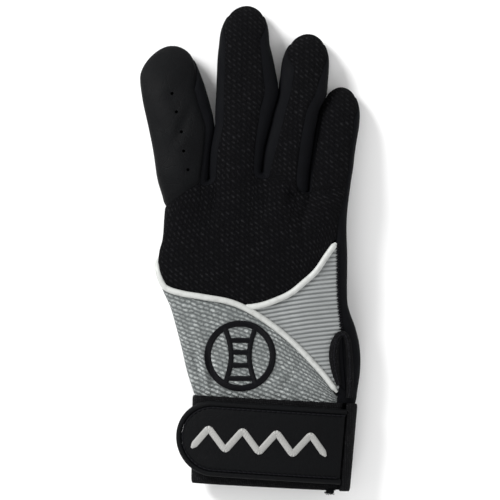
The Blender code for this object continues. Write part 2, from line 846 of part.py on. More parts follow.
def back_mesh(home):
    def blocks_at(inset):
        rows = hand_rows(1, back_edge, inset, GAP / 2)
        return [rows] + [finger_rows(finger, 1, inset) for finger in FINGERS[1:]]

    panel("back_mesh_panel", blocks_at, MESH_WALL, BLACK_MESH, home)


def index_pad(home, cutters):
    finger = FINGERS[0]

    def blocks_at(inset):
        rows = finger_rows(finger, 1, inset)
        for point in rows[0]:
            point.y += GAP / 2
        return [rows]

    made = panel("index_pad", blocks_at, PAD_WALL, BLACK_LEATHER, home, PAD_PROUD)
    for number, hole in enumerate(PERFORATIONS):
        y = finger.y + hole.along * finger.length
        bpy.ops.mesh.primitive_cylinder_add(
            vertices=8,
            radius=PERFORATION_DIAMETER / 2,
            depth=4 * PAD_WALL,
            location=(finger.x + hole.across * finger.width, y, finger_height(finger, y) + FINGER_THICKNESS / 2),
        )
        cutter = helper(bpy.context.object)
        cutter.name = f"perforation_{number + 1}"
        for owner in list(cutter.users_collection):
            owner.objects.unlink(cutter)
        cutters.objects.link(cutter)
        cut(made, cutter)


def side_curve(finger, side, station, inset):
    """Points round one side of the finger, from the seam on the back to the seam on the palm."""
    left = side == "left_seam"
    y = station_y(finger, 0 if left else 180, station)
    top = seam_angle(finger, side, y)
    bottom = palm_seam_angle(finger, side, y)
    top -= finger_gap_angle(finger, top if left else 180 - top, station)
    bottom -= finger_gap_angle(finger, -bottom if left else 180 + bottom, station)
    points = []
    for k in range(SIDE_COLUMNS + 1):
        angle = lerp(top, -bottom, k / SIDE_COLUMNS)
        points.append(finger_point(finger, angle if left else 180 - angle, station, inset))
    return points


def side_rows(finger, side, inset):
    """Rows up one side of the finger, from its root to where the strip ends on the tip."""
    return [side_curve(finger, side, station, inset) for station in finger_stations(FOURCHETTE_END)]


def web_rows(a_curve, b_curve):
    """Rows round the crotch, from one finger's side to the next finger's."""
    columns = [notch_points(a, b, 0.0) for a, b in zip(a_curve, b_curve)]
    return [list(row) for row in zip(*columns)]


def fourchette(first, second, home):
    """The strip down one finger, round the crotch and up the next."""

    def blocks_at(inset):
        up = side_rows(second, "left_seam", inset)
        down = side_rows(first, "right_seam", inset)
        return [list(reversed(down)) + web_rows(down[0], up[0]) + up]

    panel(f"fourchette_{first.name}_{second.name}", blocks_at, KNIT_WALL, BLACK_KNIT, home)


def side_strip(home):
    """The strip down the outer side of the little finger and the hand."""

    def edge_angles(y):
        end = 180 + PALM_SEAM_ANGLE
        seam = strip_angle(y)
        start = seam + 2 * gap_angle(lambda at: hand_point(at, y), seam)
        return start, end - gap_angle(lambda at: hand_point(at, y), end)

    def blocks_at(inset):
        upper = side_rows(FINGERS[-1], "right_seam", inset)
        top = upper[0][0].y
        root_edges = edge_angles(top)
        lower = []
        for j in range(HAND_ROWS):
            row = []
            for k, target in enumerate(upper[0]):
                share = k / SIDE_COLUMNS
                offset = target - hand_point(lerp(*root_edges, share), target.y, -inset)
                offset.y = 0.0
                low = wrist_line(lerp(*edge_angles(0.0), share))
                y = lerp(low, target.y, j / HAND_ROWS)
                point = hand_point(lerp(*edge_angles(y), share), y, -inset)
                row.append(point + offset * knuckle_weight(y, target.y))
            lower.append(row)
        return [lower + upper]

    panel("side_strip", blocks_at, KNIT_WALL, BLACK_KNIT, home)


def palm(home, thumb_core):
    def blocks_at(inset):
        return [hand_rows(-1, wrist_line, inset)] + [finger_rows(f, -1, inset) for f in FINGERS]

    made = panel("palm_panel", blocks_at, LEATHER_WALL, BLACK_LEATHER, home)
    cut(made, thumb_core)


def patch_rows(first, low_edge, high_edge, columns, rows, inset):
    """Rows of a patch of the back, from the angle first to the side strip."""
    grid = []
    for j in range(rows + 1):
        row = []
        for i in range(columns + 1):
            y = 0.0
            for _ in range(4):
                degrees = lerp(first, right_angle(1, y), i / columns)
                y = lerp(low_edge(degrees), high_edge(degrees), j / rows)
            row.append(back_point(degrees, y, inset))
        grid.append(row)
    return grid


def cuff_panel(home):
    """The grey mesh between the wrist band and the long piping."""

    def top_edge(degrees):
        return beside_piping(LONG_PIPING, degrees, -1)

    first = left_angle(1, HAND_LENGTH / 4)

    def blocks_at(inset):
        return [patch_rows(first, wrist_line, top_edge, 14, 7, inset)]

    panel("cuff_panel", blocks_at, MESH_WALL, GREY_MESH, home)


def rib_panel(home):
    """The ribbed elastic between the two pipings, the side strip and the wrist band."""

    def low_edge(degrees):
        return max(beside_piping(LONG_PIPING, degrees, 1), wrist_line(degrees))

    def high_edge(degrees):
        return beside_piping(SHORT_PIPING, degrees, -1)

    def has_room(degrees):
        return high_edge(degrees) - low_edge(degrees) > LEAST_HEIGHT

    first = first_angle(start_angle(SHORT_PIPING), ANGLE_STEP, has_room)

    def blocks_at(inset):
        return [patch_rows(first, low_edge, high_edge, 9, 7, inset)]

    panel("rib_panel", blocks_at, ELASTIC_WALL, PALE_RIB, home)


def piping(name, points, first, last, steps, home):
    route = []
    for i in range(steps + 1):
        degrees = lerp(first, last, i / steps)
        route.append(back_point(degrees, line_y(points, degrees)))
    tube(name, route, PALE_PIPING, home, PIPING_DIAMETER)


def piping_end(points):
    """The angle at which the piping stops, clear of the side strip."""
    y = points[-1].along * HAND_LENGTH
    seam = right_angle(1, y)
    edge = hand_point(seam, y)

    def is_clear(degrees):
        return (hand_point(degrees, y) - edge).length > PIPING_DIAMETER / 2

    return first_angle(seam, -ANGLE_STEP, is_clear)


def pipings(home):
    piping("piping_long", LONG_PIPING, -WRAP_ANGLE / 2, piping_end(LONG_PIPING), 24, home)

    def is_clear(degrees):
        apart = line_y(SHORT_PIPING, degrees) - line_y(LONG_PIPING, degrees)
        return apart > PIPING_DIAMETER + 2 * GAP

    first = first_angle(start_angle(SHORT_PIPING), ANGLE_STEP, is_clear)
    piping("piping_short", SHORT_PIPING, first, piping_end(SHORT_PIPING), 16, home)


def slit_binding(home, cutters):
    """The folded binding round the top of the slit in the cuff, flat on the panels."""
    bpy.ops.curve.primitive_bezier_circle_add(radius=BINDING_WIDTH / 2)
    profile = helper(bpy.context.object)
    profile.name = "binding_profile"
    profile.data.transform(Matrix.Diagonal((1.0, BINDING_FLATNESS, 1.0, 1.0)))
    profile.data.resolution_u = 2
    for owner in list(profile.users_collection):
        owner.objects.unlink(profile)
    cutters.objects.link(profile)
    keys = list(range(len(SLIT_BINDING)))
    route = []
    widths = []
    for i in range(BINDING_STEPS + 1):
        at = i / BINDING_STEPS * keys[-1]
        x = curve_value(keys, [point.across for point in SLIT_BINDING], at) * HAND_WIDTH
        y = curve_value(keys, [point.along for point in SLIT_BINDING], at) * HAND_LENGTH
        width = curve_value(keys, [point.width for point in SLIT_BINDING], at)
        half = width * BINDING_WIDTH / 2
        under = max(back_point(angle_at(x + side * half, y), y).z for side in (-1, 0, 1))
        route.append(Vector((x, y, under + GAP + half * BINDING_FLATNESS)))
        widths.append(width)
    made = tube("slit_binding", route, BLACK_BAND, home, BINDING_WIDTH)
    made.data.bevel_mode = "OBJECT"
    made.data.bevel_object = profile
    for place, width in zip(made.data.splines[0].points, widths):
        place.radius = width


# The thumb


def thumb_ring(along, inset):
    """A ring of points round the thumb at a share of its reach."""
    across, height, width, thickness = (
        table_value(THUMB, "along", column, along) for column in ThumbRow._fields[1:]
    )
    share = clamp((along - THUMB_CAP) / (1 - THUMB_CAP), 0.0, 1.0)
    full = math.sqrt(1 - share * share)
    half = (width * THUMB_WIDTH / 2 - inset) * full
    thick = (thickness * THUMB_THICKNESS / 2 - inset) * full
    ring = []
    for k in range(THUMB_COLUMNS + 1):
        angle = -2 * math.pi * k / THUMB_COLUMNS
        x = THUMB_X + across * THUMB_WIDTH - half * math.cos(angle)
        z = height * THUMB_THICKNESS + thick * rounded_sine(angle, FINGER_FULLNESS)
        ring.append(Vector((x, THUMB_Y + along * THUMB_REACH - share * inset, max(z, inset))))
    return ring


def thumb_rings(inset):
    body = [THUMB_CAP * i / THUMB_ROWS for i in range(THUMB_ROWS)]
    quarter = math.pi / 2
    cap = [lerp(THUMB_CAP, 1.0, math.sin(quarter * i / CAP_ROWS)) for i in range(CAP_ROWS + 1)]
    return [thumb_ring(along, inset) for along in body + cap]


def hand_core(cutters):
    """The hand's outer form with a gap added, which trims the thumb's root."""
    rings = []
    for j in range(HAND_ROWS + 1):
        y = lerp(-0.04 * HAND_LENGTH, CROTCH_INDEX, j / HAND_ROWS)
        rings.append([hand_point(180 - 360 * k / 40, y, GAP) for k in range(41)])
    return closed_loft("hand_core", rings, cutters)


def thumb(home, core):
    made = panel("thumb_stall", lambda inset: [thumb_rings(inset)], LEATHER_WALL, BLACK_LEATHER, home)
    cut(made, core)


# The wrist band and its strap


def band_place(across, along, height):
    """A point given in the band's own tilted frame. along runs down from the cuff seam."""
    tilt = math.radians(BAND_TILT)
    x = BAND_X + across * math.cos(tilt) - along * math.sin(tilt)
    y = -across * math.sin(tilt) - along * math.cos(tilt)
    return Vector((x, y - math.tan(tilt) * (BAND_X - hand_edges(0.0)[0]), height))


def band_point(degrees, along, grow):
    """A point round the band's outer face, which tapers a little towards its free edge."""
    angle = math.radians(degrees)
    half = BAND_HALF_WIDTH * (1 - BAND_TAPER * along / BAND_HEIGHT) + grow
    z = BAND_MIDDLE + (BAND_THICKNESS / 2 + grow) * rounded_sine(angle, HAND_FULLNESS)
    return band_place(-half * math.cos(angle), along, max(z, 0.0))


def wrist_band(home):
    """An open ring from under the strap, round the wrist, to the strap's sewn end."""
    around, rows = 40, 3
    start, end = 180 - BAND_START_ANGLE, -180 - BAND_END_ANGLE
    grid = []
    for j in range(rows + 1):
        row = []
        for i in range(around + 1):
            degrees = lerp(start, end, i / around)
            rise = smoothstep((BAND_RISE_ANGLE - degrees) / (BAND_RISE_ANGLE - end))
            row.append(band_point(degrees, lerp(GAP, BAND_HEIGHT, j / rows), rise * STRAP_LIFT))
        grid.append(row)
    sheet("wrist_band", [grid], BAND_WALL, BLACK_BAND, home)


def strap_point(across, along, grow=0.0):
    """A point over the band, at a distance across from its middle. It is flatter on the left."""
    lift = STRAP_LIFT + grow
    half = STRAP_SPAN if across < 0 else BAND_HALF_WIDTH + lift
    sine = math.sqrt(max(1 - (across / half) ** 2, 0.0))
    down = along + across * math.tan(math.radians(STRAP_TILT))
    taper = 1 - BAND_TAPER * down / BAND_HEIGHT
    height = BAND_MIDDLE + (BAND_THICKNESS / 2 + lift) * sine**HAND_FULLNESS
    return band_place(across * taper, down, height)


def strap_tab(home):
    half = STRAP_WIDTH / 2 - RIM_DIAMETER - GAP
    turns, steps, columns = 6, 14, 6
    rows = []
    for i in range(turns):
        angle = math.pi / 2 * (1 - i / turns)
        rows.append((STRAP_LEFT - half * math.sin(angle), half * math.cos(angle)))
    rows += [(lerp(STRAP_LEFT, STRAP_RIGHT, i / steps), half) for i in range(steps + 1)]
    grid = []
    for across, reach in rows:
        grid.append([
            strap_point(across, STRAP_MIDDLE + reach * (2 * k / columns - 1)) for k in range(columns + 1)
        ])
    sheet("strap_tab", [grid], STRAP_WALL, BLACK_LEATHER, home)


def strap_rim(home):
    """The rolled edge round the strap."""
    half = (STRAP_WIDTH - RIM_DIAMETER) / 2
    straight, turns = 14, 14
    side = [lerp(STRAP_RIGHT, STRAP_LEFT, i / straight) for i in range(straight)]
    route = [(across, -half) for across in side]
    for i in range(turns + 1):
        angle = math.pi * i / turns
        route.append((STRAP_LEFT - half * math.sin(angle), -half * math.cos(angle)))
    route += [(across, half) for across in reversed(side)]
    points = [strap_point(across, STRAP_MIDDLE + along, -STRAP_WALL / 2) for across, along in route]
    tube("strap_rim", points, BLACK_LEATHER, home, RIM_DIAMETER)


def hook_patch(home):
    """The fastener's hooked patch, hidden between the strap and the band."""
    steps, columns = 8, 3
    grid = []
    for i in range(steps + 1):
        across = lerp(-HOOK_LENGTH, 0.0, i / steps)
        alongs = [STRAP_MIDDLE + HOOK_WIDTH * (k / columns - 0.5) for k in range(columns + 1)]
        grid.append([strap_point(across, along, -STRAP_WALL - STRAP_GAP) for along in alongs])
    sheet("hook_patch", [grid], HOOK_WALL, BLACK_BAND, home)


# Raised stitching


def cuff_emblem(home):
    """A ball: a ring, the two edges of its seam, and stitches across the seam."""
    inner = EMBLEM_DIAMETER / 2 - EMBLEM_LINE
    turn = 2 * math.pi / EMBLEM_SIDES

    def raised(x, y):
        across, along = EMBLEM_X + x, EMBLEM_Y + y
        return back_point(angle_at(across, along), along, -STITCH_GAP - EMBLEM_RAISE)

    def ring_row(radius):
        turns = [turn * k for k in range(EMBLEM_SIDES + 1)]
        return [raised(radius * math.sin(t), radius * math.cos(t)) for t in turns]

    def seam_places(sides):
        """Places up one edge of the seam, from ring corner to ring corner."""
        rows = []
        for j in range(EMBLEM_ROWS + 1):
            share = j / EMBLEM_ROWS
            row = []
            for side in sides:
                x, y = inner * math.sin(turn * side), inner * math.cos(turn * side)
                bow = math.copysign(EMBLEM_LINE * math.sin(math.pi * share), side)
                row.append((x - bow, lerp(-y, y, share)))
            rows.append(row)
        return rows

    left, right = seam_places((-3, -2)), seam_places((2, 3))
    places = [left, right]
    for j in range(1, EMBLEM_ROWS - 1, 2):
        places.append([(left[k][1], right[k][0]) for k in (j, j + 1)])
    blocks = [[ring_row(inner), ring_row(EMBLEM_DIAMETER / 2)]]
    blocks += [[[raised(x, y) for x, y in row] for row in rows] for rows in places]
    sheet("cuff_emblem", blocks, EMBLEM_RAISE, BLACK_BAND, home)


def strap_motif(home):
    """A zigzag along the strap."""
    leg = MOTIF_LENGTH / MOTIF_LEGS
    rise = MOTIF_LINE / 2 * math.sqrt(1 + (MOTIF_HEIGHT / leg) ** 2)
    steps = 2
    rows = []
    for side in (1, -1):
        row = []
        for i in range(MOTIF_LEGS * steps + 1):
            at = i / steps
            across = MOTIF_X - BAND_X + (at - MOTIF_LEGS / 2) * leg
            zigzag = abs(at % 2 - 1) - 0.5
            along = STRAP_MIDDLE + MOTIF_HEIGHT * zigzag + side * rise
            row.append(strap_point(across, along, STITCH_GAP + MOTIF_RAISE))
        rows.append(row)
    sheet("strap_motif", [rows], MOTIF_RAISE, SILVER_THREAD, home)


def stand_on_origin(pieces, cutters):
    """Parents everything to an empty that puts the middle of the glove's underside at the origin."""
    bpy.context.view_layer.update()
    corners = [piece.matrix_world @ Vector(corner) for piece in pieces for corner in piece.bound_box]
    low = Vector(min(corner[k] for corner in corners) for k in range(3))
    high = Vector(max(corner[k] for corner in corners) for k in range(3))
    empty = bpy.data.objects.new("glove_origin", None)
    bpy.context.scene.collection.objects.link(empty)
    empty.location = (-(low.x + high.x) / 2, -(low.y + high.y) / 2, -low.z)
    for thing in pieces + cutters:
        thing.parent = empty


def main():
    for thing in list(bpy.data.objects):
        bpy.data.objects.remove(thing)
    home = collection("inner_glove")
    cutters = collection("cutters")
    core = hand_core(cutters)
    thumb_core = closed_loft("thumb_core", thumb_rings(LEATHER_WALL), cutters)
    back_mesh(home)
    index_pad(home, cutters)
    for first, second in zip(FINGERS, FINGERS[1:]):
        fourchette(first, second, home)
    side_strip(home)
    palm(home, thumb_core)
    thumb(home, core)
    cuff_panel(home)
    rib_panel(home)
    pipings(home)
    slit_binding(home, cutters)
    wrist_band(home)
    strap_tab(home)
    strap_rim(home)
    hook_patch(home)
    cuff_emblem(home)
    strap_motif(home)
    stand_on_origin(list(home.objects), list(cutters.objects))


main()
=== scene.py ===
"""Looks of the inner glove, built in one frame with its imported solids.

Every panel is cut from the surfaces that the solids were cut from, hand_point for the hand and
finger_point for a finger, so a piece lies where its solid does. Both take an angle round the
section in degrees: 0 at the left edge, 90 on the back of the hand, 180 at the right edge, and
negative angles on the palm side. The surfaces are worked out in the glove's own frame, where
y = 0 is the cuff seam, and each piece is then moved to where the solids stand.
"""

import json
import math
import random
from collections import namedtuple

import bmesh
import bpy
from mathutils import Matrix, Vector, noise
from mathutils.kdtree import KDTree

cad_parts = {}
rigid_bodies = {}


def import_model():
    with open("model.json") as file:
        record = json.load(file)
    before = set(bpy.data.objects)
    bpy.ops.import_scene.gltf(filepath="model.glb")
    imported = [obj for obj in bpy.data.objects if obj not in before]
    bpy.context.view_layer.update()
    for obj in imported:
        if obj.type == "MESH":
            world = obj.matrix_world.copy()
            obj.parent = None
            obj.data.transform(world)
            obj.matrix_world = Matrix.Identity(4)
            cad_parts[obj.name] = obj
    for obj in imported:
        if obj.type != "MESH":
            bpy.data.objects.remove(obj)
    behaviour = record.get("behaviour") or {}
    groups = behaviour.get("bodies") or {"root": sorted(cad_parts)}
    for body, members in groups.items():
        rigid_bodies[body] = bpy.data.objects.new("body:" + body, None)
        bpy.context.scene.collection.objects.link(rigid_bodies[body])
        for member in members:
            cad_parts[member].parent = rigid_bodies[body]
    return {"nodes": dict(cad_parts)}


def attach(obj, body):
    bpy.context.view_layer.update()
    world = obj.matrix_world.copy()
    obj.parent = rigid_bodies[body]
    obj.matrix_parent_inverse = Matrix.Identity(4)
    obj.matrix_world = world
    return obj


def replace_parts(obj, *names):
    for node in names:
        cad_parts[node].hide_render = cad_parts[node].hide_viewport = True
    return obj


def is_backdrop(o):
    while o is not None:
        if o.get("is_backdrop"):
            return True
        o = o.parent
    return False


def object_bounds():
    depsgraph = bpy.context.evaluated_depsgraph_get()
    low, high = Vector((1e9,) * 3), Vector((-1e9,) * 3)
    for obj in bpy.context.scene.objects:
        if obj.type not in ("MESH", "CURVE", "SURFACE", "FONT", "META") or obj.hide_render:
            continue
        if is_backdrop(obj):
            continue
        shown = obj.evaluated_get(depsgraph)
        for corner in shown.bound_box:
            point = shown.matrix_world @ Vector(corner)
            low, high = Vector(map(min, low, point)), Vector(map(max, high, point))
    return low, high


# Gaps between neighbouring pieces, and the distance at which loft points join
GAP = 0.00008
FINGER_GAP = -0.0003
PIPING_GAP = -0.0004
STRAP_GAP = 0.0005
LEAST_HEIGHT = 0.0012
EDGE_SAMPLE_START = 20.0
EDGE_SAMPLE = 0.5
EDGE_SAMPLES = 400
WELD = 2e-5
FINGER_TRIM = 0.3
HAND_TRIM = 0.05
ANGLE_STEP = 0.25
ANGLE_TRIES = 200
SETTLE_TRIES = 3

# Hand, from the cuff seam at y = 0 to the crotches between the fingers
HAND_LENGTH = 0.1070
HAND_WIDTH = 0.0900
HAND_THICKNESS = 0.0172
PALM_LIFT = 0.0108
SIDE_DROP = 0.0034
KNUCKLE_START = 0.0660
HAND_FULLNESS = 0.62
FINGER_FULLNESS = 0.80
WRAP_ANGLE = 16.0
PALM_SEAM_ANGLE = 35.0
INDEX_ROOT = 0.0905
LITTLE_ROOT = 0.1000
CROTCH_INDEX = 0.1040
CROTCH_MIDDLE = 0.1074
CROTCH_RING = 0.0985
INDEX_TOUCHES = 0.1290
MIDDLE_TOUCHES = 0.1460
RING_TOUCHES = 0.1420
CROTCH_ROUND = 0.70

# Walls
MESH_WALL = 0.0016
PAD_WALL = 0.0026
PAD_PROUD = 0.0007
KNIT_WALL = 0.0011
LEATHER_WALL = 0.0013
ELASTIC_WALL = 0.0014
BAND_WALL = 0.0024

# Fingers: the base point is the middle of the finger level with its higher crotch
FINGER_THICKNESS = 0.0150
FINGERTIP_THICKNESS = 0.0118
FLOOR_FLAT = 0.0004
DROOP = 1.35
INDEX_LENGTH, INDEX_WIDTH, INDEX_X = 0.0636, 0.0310, -0.0334
MIDDLE_LENGTH, MIDDLE_WIDTH, MIDDLE_X = 0.0797, 0.0298, -0.0088
RING_LENGTH, RING_WIDTH, RING_X = 0.0662, 0.0234, 0.0153
LITTLE_LENGTH, LITTLE_WIDTH, LITTLE_X = 0.0495, 0.0208, 0.0367

# Thumb
THUMB_WIDTH = 0.0290
THUMB_THICKNESS = 0.0112
THUMB_X = -0.0200
THUMB_Y = 0.0240
THUMB_REACH = 0.0860

# Piping, perforations and binding
PIPING_DIAMETER = 0.0029
PERFORATION_DIAMETER = 0.0015
BINDING_WIDTH = 0.0036
BINDING_FLATNESS = 0.62
EDGE_CLIMB = 0.0120
EDGE_TURN = 16.0

# Wrist band and strap
BAND_HEIGHT = 0.0420
BAND_HALF_WIDTH = 0.0384
BAND_THICKNESS = 0.0194
BAND_X = 0.0094
BAND_TILT = 3.0
BAND_TAPER = 0.04
BAND_TUCK_ANGLE = 28.0
BAND_END_ANGLE = 31.0
BAND_RISE_ANGLE = -150.0
STRAP_WIDTH = 0.0360
STRAP_REACH = 0.0460
STRAP_SPAN = 0.0520
STRAP_WALL = 0.0022
STRAP_DROP = 0.0006
STRAP_START_ANGLE = 33.5
STRAP_TILT = 0.7
RIM_DIAMETER = 0.0027
HOOK_WALL = 0.0010
HOOK_LENGTH = 0.0300
HOOK_WIDTH = 0.0240
BAND_MIDDLE = BAND_THICKNESS / 2 - FLOOR_FLAT
STRAP_LIFT = HOOK_WALL + 2 * STRAP_GAP + STRAP_WALL
STRAP_LEFT = -STRAP_REACH + STRAP_WIDTH / 2
STRAP_RIGHT = (BAND_HALF_WIDTH + STRAP_LIFT) * math.cos(math.radians(STRAP_START_ANGLE))
STRAP_MIDDLE = BAND_HEIGHT / 2 - STRAP_DROP

# Raised stitching on the cuff and the strap
EMBLEM_X = -0.0060
EMBLEM_Y = 0.0190
EMBLEM_DIAMETER = 0.0340
EMBLEM_LINE = 0.0030
EMBLEM_ROWS = 9
EMBLEM_SEAM_ANGLE = 28.125
MOTIF_X = 0.0040
MOTIF_LENGTH = 0.0660
MOTIF_HEIGHT = 0.0100
MOTIF_LINE = 0.0032
MOTIF_LEGS = 8
MOTIF_CORNER = 0.10
MOTIF_END = 0.15

# Sections of the hand. Lengths are shares: along of HAND_LENGTH, left, right and seam (the side
# strip's visible width) of HAND_WIDTH, lift of PALM_LIFT, thickness of HAND_THICKNESS.
HandRow = namedtuple("HandRow", "along left right seam lift thickness")
HAND = [
    HandRow(-0.06, -0.302, 0.548, 0.100, 0.05, 1.00),
    HandRow(0.00, -0.312, 0.554, 0.100, 0.05, 1.00),
    HandRow(0.11, -0.352, 0.572, 0.098, 0.10, 1.02),
    HandRow(0.21, -0.379, 0.570, 0.092, 0.28, 1.03),
    HandRow(0.30, -0.406, 0.547, 0.076, 0.52, 1.03),
    HandRow(0.40, -0.440, 0.506, 0.048, 0.78, 1.02),
    HandRow(0.48, -0.482, 0.501, 0.048, 0.92, 1.00),
    HandRow(0.56, -0.503, 0.502, 0.050, 1.00, 0.98),
    HandRow(0.64, -0.498, 0.502, 0.051, 1.02, 0.96),
    HandRow(0.70, -0.480, 0.499, 0.051, 1.02, 0.95),
    HandRow(0.79, -0.471, 0.499, 0.044, 1.02, 0.93),
    HandRow(0.87, -0.465, 0.508, 0.031, 1.02, 0.91),
    HandRow(1.00, -0.480, 0.530, 0.027, 1.00, 0.90),
]

# Sections of the fingers. Lengths are shares: along of the finger's length, centre and width of
# its width. The seams are angles up from the finger's two edges.
FingerRow = namedtuple("FingerRow", "along centre width left_seam right_seam")
INDEX_ROWS = [
    FingerRow(0.00, 0.000, 0.758, -WRAP_ANGLE, 46.0),
    FingerRow(0.20, -0.013, 0.848, -WRAP_ANGLE, 38.0),
    FingerRow(0.39, -0.016, 1.000, -WRAP_ANGLE, 44.0),
    FingerRow(0.56, -0.090, 1.010, -WRAP_ANGLE, 49.0),
    FingerRow(0.68, -0.145, 0.980, -WRAP_ANGLE, 49.0),
    FingerRow(0.80, -0.190, 0.965, -WRAP_ANGLE, 50.0),
    FingerRow(1.00, -0.165, 0.920, -WRAP_ANGLE, 50.0),
]
MIDDLE_ROWS = [
    FingerRow(0.00, 0.000, 0.839, 45.0, 43.0),
    FingerRow(0.15, 0.047, 0.852, 45.0, 48.0),
    FingerRow(0.28, 0.128, 0.883, 45.0, 54.0),
    FingerRow(0.36, 0.151, 0.926, 44.0, 56.0),
    FingerRow(0.48, 0.205, 1.000, 41.0, 55.0),
    FingerRow(0.57, 0.195, 0.963, 42.0, 55.0),
    FingerRow(0.69, 0.171, 0.886, 42.0, 53.0),
    FingerRow(0.79, 0.158, 0.802, 40.0, 49.0),
    FingerRow(1.00, 0.195, 0.802, 40.0, 45.0),
]
RING_ROWS = [
    FingerRow(0.00, 0.000, 0.953, 50.0, 60.0),
    FingerRow(0.20, 0.081, 0.957, 60.0, 61.0),
    FingerRow(0.43, 0.222, 0.915, 63.0, 61.0),
    FingerRow(0.53, 0.342, 1.000, 61.0, 58.0),
    FingerRow(0.64, 0.385, 1.000, 62.0, 50.0),
    FingerRow(0.75, 0.415, 0.987, 63.0, 38.0),
    FingerRow(1.00, 0.479, 0.987, 60.0, 34.0),
]
LITTLE_ROWS = [
    FingerRow(0.00, 0.000, 0.990, 32.0, 35.0),
    FingerRow(0.37, 0.101, 0.980, 32.0, 37.0),
    FingerRow(0.60, 0.187, 0.990, 33.0, 39.0),
    FingerRow(0.68, 0.216, 0.971, 32.0, 42.0),
    FingerRow(1.00, 0.279, 0.971, 30.0, 42.0),
]
# The tip's rounding starts at the cap's share of the length. The finger touches the next one up
# to the y that touches gives.
Finger = namedtuple("Finger", "name x y length width rows cap root_left root_right touches")
FINGERS = [
    Finger("index", INDEX_X, CROTCH_INDEX, INDEX_LENGTH, INDEX_WIDTH, INDEX_ROWS, 0.676,
           INDEX_ROOT, CROTCH_INDEX, INDEX_TOUCHES),
    Finger("middle", MIDDLE_X, CROTCH_MIDDLE, MIDDLE_LENGTH, MIDDLE_WIDTH, MIDDLE_ROWS, 0.794,
           CROTCH_INDEX, CROTCH_MIDDLE, MIDDLE_TOUCHES),
    Finger("ring", RING_X, CROTCH_MIDDLE, RING_LENGTH, RING_WIDTH, RING_ROWS, 0.749,
           CROTCH_MIDDLE, CROTCH_RING, RING_TOUCHES),
    Finger("little", LITTLE_X, CROTCH_RING, LITTLE_LENGTH, LITTLE_WIDTH, LITTLE_ROWS, 0.677,
           CROTCH_RING, LITTLE_ROOT, 0.0),
]
# Shares of the rounded tip where a strip ends and where its seams close
FOURCHETTE_END = 0.70
SEAM_CLOSES = 0.82

# Piping on the back of the hand: across is a share of HAND_WIDTH, along of HAND_LENGTH
PipingPoint = namedtuple("PipingPoint", "across along")
LONG_PIPING = [
    PipingPoint(-0.502, 0.530),
    PipingPoint(-0.464, 0.484),
    PipingPoint(-0.379, 0.458),
    PipingPoint(-0.268, 0.442),
    PipingPoint(-0.107, 0.415),
    PipingPoint(0.030, 0.357),
    PipingPoint(0.200, 0.247),
    PipingPoint(0.370, 0.099),
    PipingPoint(0.454, 0.007),
]
SHORT_PIPING = [
    PipingPoint(-0.004, 0.397),
    PipingPoint(0.047, 0.405),
    PipingPoint(0.114, 0.424),
    PipingPoint(0.200, 0.458),
    PipingPoint(0.268, 0.504),
    PipingPoint(0.336, 0.557),
    PipingPoint(0.394, 0.628),
    PipingPoint(0.447, 0.689),
]

# Folds and dents on the back: across and width are shares of HAND_WIDTH, along and length of
# HAND_LENGTH, height of HAND_THICKNESS. The turn is in degrees from the hand's own direction.
Fold = namedtuple("Fold", "across along turn length width height")
FOLDS = [
    Fold(-0.262, 0.12, 10.0, 0.13, 0.018, 0.150),
    Fold(-0.302, 0.14, 12.0, 0.12, 0.016, -0.120),
    Fold(-0.100, 0.05, 60.0, 0.10, 0.040, 0.030),
    Fold(0.230, 0.88, -20.0, 0.07, 0.060, -0.100),
    Fold(-0.040, 0.85, 10.0, 0.10, 0.060, -0.030),
    Fold(0.300, 0.62, 40.0, 0.16, 0.060, 0.035),
    Fold(-0.400, 0.80, -20.0, 0.08, 0.050, 0.030),
    Fold(-0.224, 0.10, 8.0, 0.11, 0.014, -0.100),
    Fold(-0.335, 0.09, 10.0, 0.10, 0.016, 0.060),
    Fold(0.140, 0.06, -30.0, 0.07, 0.022, 0.040),
    Fold(0.190, 0.07, -34.0, 0.07, 0.018, -0.036),
    Fold(0.020, 0.03, 5.0, 0.05, 0.020, 0.030),
    Fold(-0.060, 0.18, 0.0, 0.13, 0.150, -0.022),
    Fold(0.300, 0.45, 60.0, 0.09, 0.030, 0.024),
    Fold(0.235, 0.915, 30.0, 0.040, 0.016, 0.100),
    Fold(0.205, 0.900, 60.0, 0.030, 0.014, -0.100),
    Fold(-0.120, 0.62, -35.0, 0.20, 0.050, 0.016),
    Fold(0.120, 0.72, 30.0, 0.16, 0.050, -0.018),
]

# The thumb's sections: along of THUMB_REACH, across of THUMB_WIDTH, height and thickness of
# THUMB_THICKNESS, width of THUMB_WIDTH
ThumbRow = namedtuple("ThumbRow", "along across height width thickness")
THUMB = [
    ThumbRow(0.00, 0.00, 1.12, 1.00, 0.92),
    ThumbRow(0.12, 0.02, 0.95, 1.03, 0.96),
    ThumbRow(0.28, 0.06, 0.70, 1.02, 1.00),
    ThumbRow(0.45, 0.14, 0.51, 0.97, 1.00),
    ThumbRow(0.65, 0.30, 0.48, 0.95, 0.97),
    ThumbRow(0.82, 0.47, 0.46, 0.90, 0.93),
    ThumbRow(1.00, 0.62, 0.44, 0.86, 0.88),
]
THUMB_CAP = 0.80

# Perforations in the index pad: along of INDEX_LENGTH, across of INDEX_WIDTH
Perforation = namedtuple("Perforation", "along across")
PERFORATIONS = [
    Perforation(0.635, -0.168),
    Perforation(0.495, -0.100),
    Perforation(0.346, -0.022),
    Perforation(0.201, 0.013),
    Perforation(0.060, 0.080),
]

